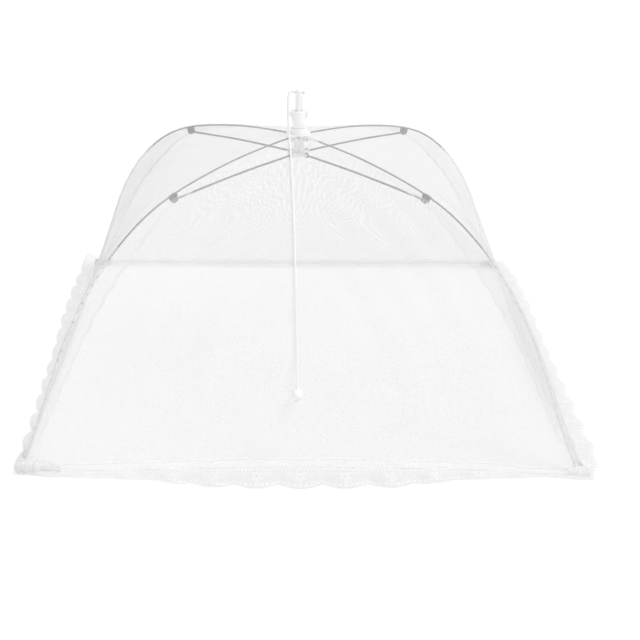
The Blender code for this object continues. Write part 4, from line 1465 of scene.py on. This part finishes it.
class COVER_OT_top(bpy.types.Operator):
    """Models the collar and the winged sleeve on the hub, and the fluted post with its eye"""

    bl_idname = "cover.top"
    bl_label = "Collar, sleeve and post"

    def execute(self, context):
        rounding = context.scene.cover_plastic.rounding
        self.collar(rounding)
        self.sleeve(rounding)
        self.post(rounding)
        return {"FINISHED"}

    def collar(self, rounding):
        low, high = (c.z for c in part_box("crown_collar"))
        socket, ledge = TUBE_RADIUS + CLEARANCE, TUBE_TOP + CLEARANCE
        profile = [
            (socket, low),
            (COLLAR_RADIUS - COLLAR_EDGE, low),
            (COLLAR_RADIUS, low + COLLAR_EDGE),
            (COLLAR_RADIUS, high - 0.0021),
            (COLLAR_RADIUS - COLLAR_LINE, high - 0.0019),
            (COLLAR_RADIUS - COLLAR_LINE, high - 0.0015),
            (COLLAR_RADIUS, high - 0.0013),
            (COLLAR_RADIUS, high - COLLAR_EDGE),
            (COLLAR_RADIUS - COLLAR_EDGE, high),
            (POST_BORE, high),
            (POST_BORE, ledge),
            (socket, ledge),
        ]
        piece = rounded(turned_ring("pressed_collar", profile, 72), rounding, angle=28)
        dress(piece, "white", "crown", "crown_collar")

    def sleeve(self, rounding):
        low, high = (c.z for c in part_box("crown_sleeve"))
        top = high - 0.0007
        profile = [
            (POST_BORE, low),
            (SLEEVE_RADIUS - 0.0002, low),
            (SLEEVE_RADIUS, low + 0.0004),
            (SLEEVE_RADIUS, low + 0.0070),
            (SLEEVE_RADIUS - 0.0002, low + 0.0074),
            (SLEEVE_RADIUS - 0.0003, top - 0.0006),
            (SLEEVE_RADIUS - 0.0008, top),
            (POST_BORE, top),
        ]
        sleeve = turned_ring("winged_sleeve", profile, 72)
        for side in (-1, 1):
            combined(sleeve, self.wing(side, high), "UNION")
        bore = bar("bore", (0, 0, low - 0.002), (0, 0, high + 0.002), POST_BORE, 72)
        combined(sleeve, bore, "DIFFERENCE")
        rounded(welded(sleeve), rounding)
        dress(sleeve, "white", "crown", "crown_sleeve")

    def wing(self, side, top):
        """One finger wing, drawn out from the sleeve and narrowed to its tip."""
        outer, middle = WING_ROOT + WING_START, top - WING_HEIGHT / 2
        low, high = sorted((side * WING_ROOT, side * outer))
        wing = block("wing", (low, -WING_HALF, top - WING_HEIGHT), (high, WING_HALF, top))
        start_edit(wing, "FACE", lambda face: face.normal.x * side > 0.9)
        for reach, narrow, rise in WING_STEPS:
            step = (side * reach, 0, rise)
            bpy.ops.mesh.extrude_region_move(TRANSFORM_OT_translate={"value": step})
            outer, middle = outer + reach, middle + rise
            place = (side * outer, 0, middle)
            bpy.ops.transform.resize(value=(1, 0.94, narrow), center_override=place)
        end_edit()
        bevelled(wing, 0.0005)
        return wing

    def post(self, rounding):
        low, high = (c.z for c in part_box("pull_post"))
        dome = [
            (POST_RADIUS * math.cos(a), high - POST_DOME + POST_DOME * math.sin(a))
            for a in np.linspace(0, QUARTER - 0.02, 9)
        ]
        foot = [(POST_AXIS, low), (POST_RADIUS - 0.0003, low), (POST_RADIUS, low + 0.0003)]
        post = turned_piece("fluted_post", [*foot, *dome, (POST_AXIS, high)], 72)
        flute_low, flute_high = KNUCKLE_HEIGHT + 0.0018, high - 0.0078
        for quarter in range(4):
            angle = QUARTER / 2 + quarter * QUARTER
            x, y = POST_RADIUS * math.cos(angle), POST_RADIUS * math.sin(angle)
            flute = bar("flute", (x, y, flute_low), (x, y, flute_high), FLUTE_RADIUS, 20)
            combined(post, flute, "DIFFERENCE")
        eye = high - POST_EYE_DROP
        bore = bar("eye", (-0.006, 0, eye), (0.006, 0, eye), POST_EYE, 32)
        combined(post, bore, "DIFFERENCE")
        rounded(welded(post), rounding)
        dress(post, "white", "runner", "pull_post")


class COVER_OT_wires(bpy.types.Operator):
    """Bends the four ribs and the four struts, with closed eyes round their pins"""

    bl_idname = "cover.wires"
    bl_label = "Ribs and struts"

    def execute(self, context):
        line = [Vector(p) for p in rib_line(context.scene.cover_wire.wire_steps)]
        pin = Vector((RIB_PIN_RADIUS, RIB_PIN_HEIGHT))
        rib = self.eye(pin, Vector((0, 1)), Vector((-1, 0)), RIB_EYE, RIB_EYE_TURN) + line
        clip_pin = clip_frame()[3]
        knuckle = Vector((KNUCKLE_RADIUS, KNUCKLE_HEIGHT))
        inward = (knuckle - clip_pin).normalized()
        over = Vector((-inward.y, inward.x))
        if over.y < 0:
            over = -over
        outer = self.eye(clip_pin, inward, over, STRUT_EYE, STRUT_EYE_TURN)
        inner = self.eye(knuckle, -inward, over, STRUT_EYE, STRUT_EYE_TURN)[::-1]
        start, end = clip_pin + inward * STRUT_EYE, knuckle - inward * STRUT_EYE
        straight = [
            start.lerp(end, share) + over * STRUT_BOW * math.sin(math.pi * share)
            for share in np.linspace(0, 1, 24)
        ]
        strut = outer + straight + inner
        for corner in CORNERS:
            for kind, points, wire in (("rib", rib, RIB_WIRE), ("strut", strut, STRUT_WIRE)):
                places = at_corner(corner, [(p.x, 0, p.y) for p in points])
                piece = bent_wire(f"{corner}_{kind}_wire", places, wire / 2)
                dress(piece, "steel", f"{corner}_{kind}_set", f"{corner}_{kind}")
        return {"FINISHED"}

    def eye(self, pin, start, by_way_of, radius, degrees):
        """Points of an eye round pin, from its free end to the point that start gives."""
        turns = (math.radians(degrees) * step / EYE_STEPS for step in range(EYE_STEPS, 0, -1))
        return [
            pin + (start * math.cos(turn) + by_way_of * math.sin(turn)) * radius for turn in turns
        ]


def clip_frame():
    """The rib's point over the clip, its direction and outward normal, and the strut's pin."""
    index = int(np.argmin(abs(RIB[:, 0] - CLIP_RADIUS)))
    point, along = Vector(RIB[index]), Vector(RIB[index + 1] - RIB[index - 1]).normalized()
    normal = Vector((-along.y, along.x))
    return point, along, normal, point - normal * CLIP_PIN_DROP


class COVER_OT_clips(bpy.types.Operator):
    """Presses the four saddles under the ribs, and finishes the pins and the tip caps"""

    bl_idname = "cover.clips"
    bl_label = "Clips, pins and caps"

    def execute(self, context):
        clip = self.saddle()
        for corner, (side, depth) in CORNERS.items():
            turn = math.atan2(depth, side)
            piece = turned_about_axis(clip, turn, f"{corner}_saddle")
            dress(piece, "clip", f"{corner}_rib_set", f"{corner}_clip")
            for pin in ("rib_pin", "knuckle_pin", "clip_pin"):
                dress_node(f"{corner}_{pin}", "steel")
            dress_node(f"{corner}_tip_cap", "white")
        bpy.data.objects.remove(clip, do_unlink=True)
        return {"FINISHED"}

    def saddle(self):
        """The clip in the first corner's plane: a channel for the rib over a slot for the strut."""
        point, along, _, _ = clip_frame()
        length, width, drop = CLIP_LENGTH, CLIP_WIDTH, CLIP_PIN_DROP + CLIP_SKIRT
        clip = block("saddle", (-length / 2, -width / 2, -drop), (length / 2, width / 2, 0.0001))
        start_edit(clip, "FACE", lambda face: face.normal.z < -0.9)
        bpy.ops.transform.resize(value=(CLIP_TAPER, 1, 1), center_override=(0, 0, -drop))
        end_edit()
        room = RIB_WIRE / 2 + CLEARANCE
        groove = block("groove", (-length, -room, -room), (length, room, 0.003))
        half = STRUT_WIRE / 2 + CLEARANCE
        roof = -CLIP_PIN_DROP + STRUT_EYE + STRUT_WIRE / 2 + CLEARANCE
        slot = block("strut_slot", (-length, -half, -drop - 0.003), (length, half, roof))
        pin_ends = ((0, side * width, -CLIP_PIN_DROP) for side in (-1, 1))
        hole = bar("rivet_hole", *pin_ends, PIN_HOLE)
        for tool in (groove, slot, hole):
            combined(clip, tool, "DIFFERENCE")
        rounded(welded(clip), 0.00025, segments=2)
        hold(clip)
        clip.rotation_euler.y = -math.atan2(along.y, along.x)
        clip.location = (point.x, 0, point.y)
        settle()
        return clip


class COVER_OT_net(bpy.types.Operator):
    """Stretches the net over the ribs, one curved sheet round each corner"""

    bl_idname = "cover.net"
    bl_label = "Net"

    def execute(self, context):
        halves = {
            "front_left": ("front_panel_left_half", "left_panel_front_half"),
            "front_right": ("front_panel_right_half", "right_panel_front_half"),
            "back_right": ("back_panel_right_half", "right_panel_back_half"),
            "back_left": ("back_panel_left_half", "left_panel_back_half"),
        }
        top_edge = [self.gathers()]
        for number, corner in enumerate(CORNERS):
            first, second = (net_grid(corner, leg, 1.9 * number) for leg in (-1, 1))
            points, side, arc = second
            grid = joined(first[0], points)
            middle = points.shape[1] - 1
            name = f"{corner}_net"
            piece = woven_sheet(name, grid, both_legs(side), both_legs(arc), corner, split=middle)
            dress(piece, "net", f"{corner}_rib_set", *halves[corner])
            self.seam_end(corner)
            top_edge = []
            fold_flat(piece)
        return {"FINISHED"}

    def gathers(self):
        """The net's top edge, drawn together in fine folds under the collar."""
        depth, turn = unit_grid(9, 289)
        angle = math.tau * turn
        rim = TOP_RIM + TOP_OVER_RIB * (1 - np.cos(4 * angle)) / 2
        rim = rim + TOP_UNEVEN * np.sin(9 * angle + 1)
        radius = TOP_RADIUS + (rim - TOP_RADIUS) * depth
        folds = np.sin(TOP_FOLDS * angle + 1.2 * np.sin(5 * angle)) * (0.35 + 0.65 * depth)
        height = RIB[0, 1] + NET_OVER_HUB + TOP_LIFT - 0.0002 * depth + TOP_FOLD_DEPTH * folds
        points = np.stack([radius * np.cos(angle), radius * np.sin(angle), height], axis=-1)
        piece = woven_sheet("gathered_top", points, angle * 0.0115, radius)
        return dress(piece, "gathers", "crown")

    def seam_end(self, corner):
        """The seam's inner end, which is wrapped over the rib beside the collar."""
        share, turn = unit_grid(40, 13, -2.3, 2.3)
        out = SEAM_END_START + (SEAM_ENDS[corner] - SEAM_END_START) * share
        creases = SEAM_END_CREASE * np.sin(70 * share + 3 * turn)
        radius = SEAM_END_RADIUS * (1 - 0.25 * share**3) + creases
        height = np.interp(out, RIB[:, 0], RIB[:, 1]) + 0.0003 + radius * np.cos(turn)
        points = np.stack([out, radius * np.sin(turn), height], axis=-1)
        piece = woven_sheet(f"{corner}_seam_end", points, out * 1.3, turn * 0.0024, corner)
        return dress(piece, "gathers", f"{corner}_rib_set")


class COVER_OT_seams(bpy.types.Operator):
    """Hangs the overlocked seam allowance along each rib and binds the rib to the net"""

    bl_idname = "cover.seams"
    bl_label = "Seams and binding"

    def execute(self, context):
        for number, corner in enumerate(CORNERS):
            flip = -1 if corner in ("front_right", "back_left") else 1
            self.allowance(corner, flip, number)
            self.binding(corner, number)
        return {"FINISHED"}

    def strip_points(self, share, depth, number):
        """Points of the strip: share along it, depth from its root to its free edge."""
        row = STRIP_ROWS[0] + (STRIP_ROWS[1] - STRIP_ROWS[0]) * share
        out, height, normal_out, normal_up = rib_at(row)
        below = STRIP_DROP + np.maximum(STRIP_ACROSS * normal_out - NET_OVER_TIP * row, 0)
        begins = np.clip(share / 0.45, 0, 1)
        swell = np.maximum(np.sin(math.pi * share), 0.05) ** 0.8 * (0.35 + 0.65 * begins**2)
        width = STRIP_WIDTH * swell * depth
        waviness, pitch = STRIP_WAVE
        waves = np.sin(math.tau * row * RIB_LENGTH / pitch + number) * depth**1.5
        drop = below + width * math.cos(STRIP_LEAN)
        across = STRIP_ACROSS + width * math.sin(STRIP_LEAN) + waviness * waves * swell
        return np.stack([out - normal_out * drop, across, height - normal_up * drop], axis=-1)

    def allowance(self, corner, flip, number):
        share, depth = unit_grid(90, 7)
        points = self.strip_points(share, depth, number)
        points[..., 1] *= flip
        arc = share * (STRIP_ROWS[1] - STRIP_ROWS[0]) * RIB_LENGTH
        strip = woven_sheet(f"{corner}_seam_allowance", points, arc, depth * STRIP_WIDTH, corner)
        dress(strip, "strip", f"{corner}_rib_set", f"{corner}_seam_strip")
        count = 2 * int(arc[-1, 0] / OVERLOCK_PITCH)
        outer = np.arange(count) % 2 == 0
        inset = np.where(outer, 1.02, 0.80)
        path = self.strip_points(np.linspace(0.01, 0.99, count), inset, number)
        path[:, 1] += np.where(outer, 0.0002, 0.0004)
        path[:, 1] *= flip
        thread = tube(f"{corner}_overlock", at_corner(corner, path), OVERLOCK_RADIUS, sides=5)
        dress(thread, "thread", f"{corner}_rib_set")
        for piece in (strip, thread):
            fold_flat(piece)

    def binding(self, corner, number):
        """Thread wound close round the rib's lower part, open for a moment at each stitch."""
        start, end = BOUND_ROWS
        length = RIB_LENGTH * (end - start)
        along = np.linspace(0, length, BINDING_POINTS)
        beat = ((along + 0.0013 * number) / BINDING_BEAT) % 1 - 0.5
        opened = np.exp(-((beat / 0.085) ** 2)) * np.clip(1.25 - along / length, 0, 1)
        thinner = np.clip(1 - along / (0.10 * length), 0, 1)
        pitch = BINDING_PITCH_SLIPPED if corner == SLIPPED else BINDING_PITCH
        pitch = pitch + 0.0004 * opened + 0.0012 * thinner
        turns = np.cumsum(np.gradient(along) / pitch)
        out, height, normal_out, normal_up = rib_at(start + along / RIB_LENGTH)
        radius = RIB_WIRE / 2 + BINDING_LIFT
        lift, across = radius * np.cos(math.tau * turns), radius * np.sin(math.tau * turns)
        path = np.stack([out + normal_out * lift, across, height + normal_up * lift], axis=-1)
        thread = tube(f"{corner}_rib_binding", at_corner(corner, path), BINDING_RADIUS, sides=5)
        dress(thread, "thread", f"{corner}_rib_set")


class COVER_OT_hems(bpy.types.Operator):
    """Folds the stitched band along the lower edge"""

    bl_idname = "cover.hems"
    bl_label = "Hems"

    def execute(self, context):
        for number, corner in enumerate(CORNERS):
            depth, share = unit_grid(15, 90)
            first, second = (self.half(corner, leg, share, depth, number) for leg in (-1, 1))
            from_seam = np.minimum(abs(depth - 0.20), abs(depth - 0.80)) / 0.10
            thickness = HEM_SEWN + HEM_PUFF * np.clip(from_seam, 0, 1) ** 0.7
            thickness = thickness + HEM_ROLL * np.exp(-((depth / 0.10) ** 2))
            both = [both_legs(g) for g in (thickness, share * HALF_SPAN, depth * HEM_WIDTH)]
            name = f"{corner}_folded_hem"
            piece = folded_sheet(name, joined(first, second), *both, corner)
            dress(piece, "hem", f"{corner}_rib_set", f"{corner}_hem")
            fold_flat(piece)
        return {"FINISHED"}

    def half(self, corner, leg, share, depth, number):
        """Half of the band, slightly puckered and slack."""
        top_height, low_height = eased(HEM_TOP_HEIGHT, share), eased(HEM_LOW_HEIGHT, share)
        top = edge_line(HEM_TOP_OUT, top_height - 0.0003, share, corner, leg)
        low = edge_line(HEM_LOW_OUT, low_height, share, corner, leg)
        run = share * HALF_SPAN
        free = np.sin(math.pi * share)
        (pucker_depth, pucker_pitch), (slack_depth, slack_pitch) = HEM_PUCKER, HEM_SLACK
        pucker = np.sin(math.tau * run / pucker_pitch + number) * np.sin(math.pi * depth)
        slack = np.sin(math.tau * run / slack_pitch + 2 * number)
        bulge = (free * (pucker_depth * pucker + slack_depth * slack))[..., None]
        return top + (low - top) * depth[..., None] + bulge * np.array([1, 1, 0]) / ROOT_TWO


class COVER_OT_lace(bpy.types.Operator):
    """Sews the scalloped lace under the hem, and gathers it round the corners"""

    bl_idname = "cover.lace"
    bl_label = "Lace"

    def execute(self, context):
        for number, corner in enumerate(CORNERS):
            first, second = (self.half(corner, leg, number + leg) for leg in (-1, 1))
            share, depth = second[1:]
            name = f"{corner}_scalloped_lace"
            grid = joined(first[0], second[0])
            piece = woven_sheet(name, grid, both_legs(share * SCALLOPS), both_legs(depth), corner)
            dress(piece, "lace", f"{corner}_rib_set", f"{corner}_lace")
            gather = self.gather(corner, number)
            fold_flat(piece)
            fold_flat(gather)
        return {"FINISHED"}

    def edge(self, corner, leg, share):
        """How far the lace's edge lies beyond the ribs' tips, and how deep its scallops are."""
        side, depth = CORNERS[corner]
        if leg_is_front(corner, leg):
            table, sign = (LACE_FRONT if depth < 0 else LACE_BACK), side
        else:
            table, sign = (LACE_LEFT if side < 0 else LACE_RIGHT), depth
        place, reach, scallop = (np.array(column) / 1000 for column in zip(*table))
        here = sign * HALF_SPAN * (1 - share)
        near = np.clip(share / 0.10, 0, 1)
        start = near**2 * (3 - 2 * near)
        corner_reach = LACE_CORNER[corner] / 1000
        reach = corner_reach + (np.interp(here, place, reach) - corner_reach) * start
        return reach, np.interp(here, place, scallop)

    def half(self, corner, leg, phase):
        """Half of the trim: from under the hem down and out to the scalloped edge."""
        depth, share = unit_grid(13, round(SCALLOPS * 22) + 1)
        bump = abs(np.sin(math.pi * SCALLOPS * share)) ** 0.95
        fades = np.minimum(1.0, share * SCALLOPS)
        low_height = eased(HEM_LOW_HEIGHT, share)
        top = edge_line(HEM_LOW_OUT, low_height - 0.0004, share, corner, leg)
        lobes = 1 - np.cos(math.tau * SCALLOPS * share + 0.4 * phase)
        rise = LACE_LOBES * lobes * np.sin(math.pi * share)
        if corner == "back_left":
            rise = rise + LACE_LOBE * np.exp(-((share / 0.075) ** 2))
        reach, scallop = self.edge(corner, leg, share)
        along = (HALF_SPAN + LACE_CORNER[corner] / 1000) * (1 - share)
        across = HALF_SPAN + reach + scallop * bump * fades
        low = from_sides(across, along, LACE_HEIGHT + rise)
        points = top + (low - top) * depth[..., None]
        crest = np.sin(math.pi * depth * 0.8)
        ripple = np.sin(math.tau * share * SCALLOPS * 2 + phase) * np.sin(math.pi * share)
        points[..., 2] += LACE_CREST * crest + LACE_RIPPLE * ripple * depth * (1 - depth * 0.35)
        points[..., 2] = np.maximum(points[..., 2], LACE_LEAST)
        return points, share, depth

    def gather(self, corner, number):
        """A bunch of lace that the corner's stitches draw together, round the tip cap."""
        full = 1.0 if corner == "front_left" else BUNCH_LESS
        depth, turn = unit_grid(14, 150, -1, 1)
        share = abs(turn) * BUNCH_SHARE * full
        halves = [edge_line((0.0, 0.0), 0.0, share, corner, leg) for leg in (-1, 1)]
        halves[0][..., 1] *= -1
        base = np.where((turn < 0)[..., None], *halves)
        fall = 1 - abs(turn) ** 2.2
        least, more = BUNCH_RISE
        height = BUNCH_FOOT + (least + more * fall * full) * (1 - depth**1.5)
        fold = np.sin(math.tau * turn * 4.5 * full + number)
        fold += 0.5 * np.sin(math.tau * turn * 11 + 2)
        swell = BUNCH_FOLD * fold * (0.35 + depth) * (0.4 + 0.6 * fall)
        packed = corner == SLIPPED  # drawn so close here that no pattern is left
        curl = 0.50 if packed else 0.76
        bulge = np.sin(math.pi * (depth * curl + 0.02)) ** 0.8
        belly = BUNCH_BELLY * bulge * (0.35 + 0.65 * fall) - 0.0008
        points = base + (swell + belly)[..., None] * np.array([1.0, 0.0, 0.0])
        points[..., 2] = height + 0.0005 * np.sin(math.tau * turn * 7 + 1)
        u, v = (turn * 0.029, depth * 0.013) if packed else (turn * 2.6 * full, 0.1 + depth * 0.82)
        gather = woven_sheet(f"{corner}_gathered_lace", points, u, v, corner)
        return dress(gather, "gathers" if packed else "lace", f"{corner}_rib_set")


class COVER_OT_string(bpy.types.Operator):
    """Lays the pull string through the post's eye and over the front, with its knots and bead"""

    bl_idname = "cover.string"
    bl_label = "Pull string"

    def execute(self, context):
        settings = context.scene.cover_string
        path = smooth_curve(STRING_ROUTE, 640)
        strands, pitch = settings.strands, settings.twist_pitch

        def strand_shape(steps, angle):
            turn = strands * (angle[None, :] - math.tau * steps[:, None] / pitch) / 2
            return 0.84 + 0.16 * abs(np.cos(turn))

        cord = tube("twisted_string", path, STRING_RADIUS, sides=15, radius_at=strand_shape)
        dress(cord, "string", "string", "pull_string")
        ends = [(path[0], path[0] - path[6]), (path[-1], path[-1] - path[-7])]
        knots = [
            self.knot(name, place, aim)
            for name, (place, aim) in zip(("eye_knot", "end_knot"), ends)
        ]
        bead = self.bead(path)
        for piece in (cord, knots[0]):
            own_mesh(piece)
        return {"FINISHED"}

    def knot(self, name, place, aim):
        """An overhand knot pulled tight round the string's end."""
        t = np.linspace(0, math.tau, 96, endpoint=False)
        x, y = np.sin(t) + 2 * np.sin(2 * t), np.cos(t) - 2 * np.cos(2 * t)
        loop = np.stack([x, y, -1.5 * np.sin(3 * t)], axis=1)
        turn = Vector(aim).to_track_quat("Z", "Y").to_matrix()
        middle = Vector(place) - Vector(aim).normalized() * 0.0006
        points = [middle + turn @ Vector(p) * KNOT_SIZE for p in loop]
        knot = tube(name, points, KNOT_STRAND, sides=10, cyclic=True)
        return dress(knot, "string", "string")

    def bead(self, path):
        """A round bead with a drilled and softened bore, threaded on the string."""
        low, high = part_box("string_bead")
        middle = (low + high) / 2
        start = math.asin(BEAD_BORE / BEAD_RADIUS)
        profile = [
            (BEAD_RADIUS * math.sin(angle), -BEAD_RADIUS * math.cos(angle))
            for angle in np.linspace(start, math.pi - start, 33)
        ]
        reach = profile[-1][1]
        profile += [(BEAD_BORE, reach * s) for s in (0.6, 0.0, -0.6)]
        bead = turned_ring("round_bead", profile, 48)
        rounded(bead, 0.00025, angle=35)
        aim = Vector(path[-1] - path[-12])
        bead.rotation_mode = "QUATERNION"
        bead.rotation_quaternion = aim.to_track_quat("Z", "Y")
        bead.location = middle
        settle()
        return dress(bead, "white", "string", "string_bead")


class COVER_PT_panel(bpy.types.Panel):
    """Lists the steps that build the cover"""

    bl_idname = "COVER_PT_panel"
    bl_label = "Food cover"
    bl_space_type = "VIEW_3D"
    bl_region_type = "UI"
    bl_category = "Food cover"

    def draw(self, context):
        for operator in OPERATORS:
            self.layout.operator(operator.bl_idname)
        for settings in SETTINGS:
            group = getattr(context.scene, settings)
            box = self.layout.box()
            for name in group.__annotations__:
                box.prop(group, name)


OPERATORS = (
    COVER_OT_stage,
    COVER_OT_string,
    COVER_OT_hub,
    COVER_OT_top,
    COVER_OT_wires,
    COVER_OT_clips,
    COVER_OT_net,
    COVER_OT_seams,
    COVER_OT_hems,
    COVER_OT_lace,
)
SETTINGS = {
    "cover_cloth": ClothSettings,
    "cover_wire": WireSettings,
    "cover_plastic": PlasticSettings,
    "cover_string": StringSettings,
    "cover_stage": StageSettings,
}
CLASSES = (*SETTINGS.values(), *OPERATORS, COVER_PT_panel)


def register():
    for kind in CLASSES:
        bpy.utils.register_class(kind)
    for name, group in SETTINGS.items():
        setattr(bpy.types.Scene, name, PointerProperty(type=group))


def unregister():
    for name in SETTINGS:
        delattr(bpy.types.Scene, name)
    for kind in reversed(CLASSES):
        bpy.utils.unregister_class(kind)


def main():
    register()
    for operator in OPERATORS:
        group, name = operator.bl_idname.split(".")
        getattr(getattr(bpy.ops, group), name)()


if __name__ == "__main__":
    main()
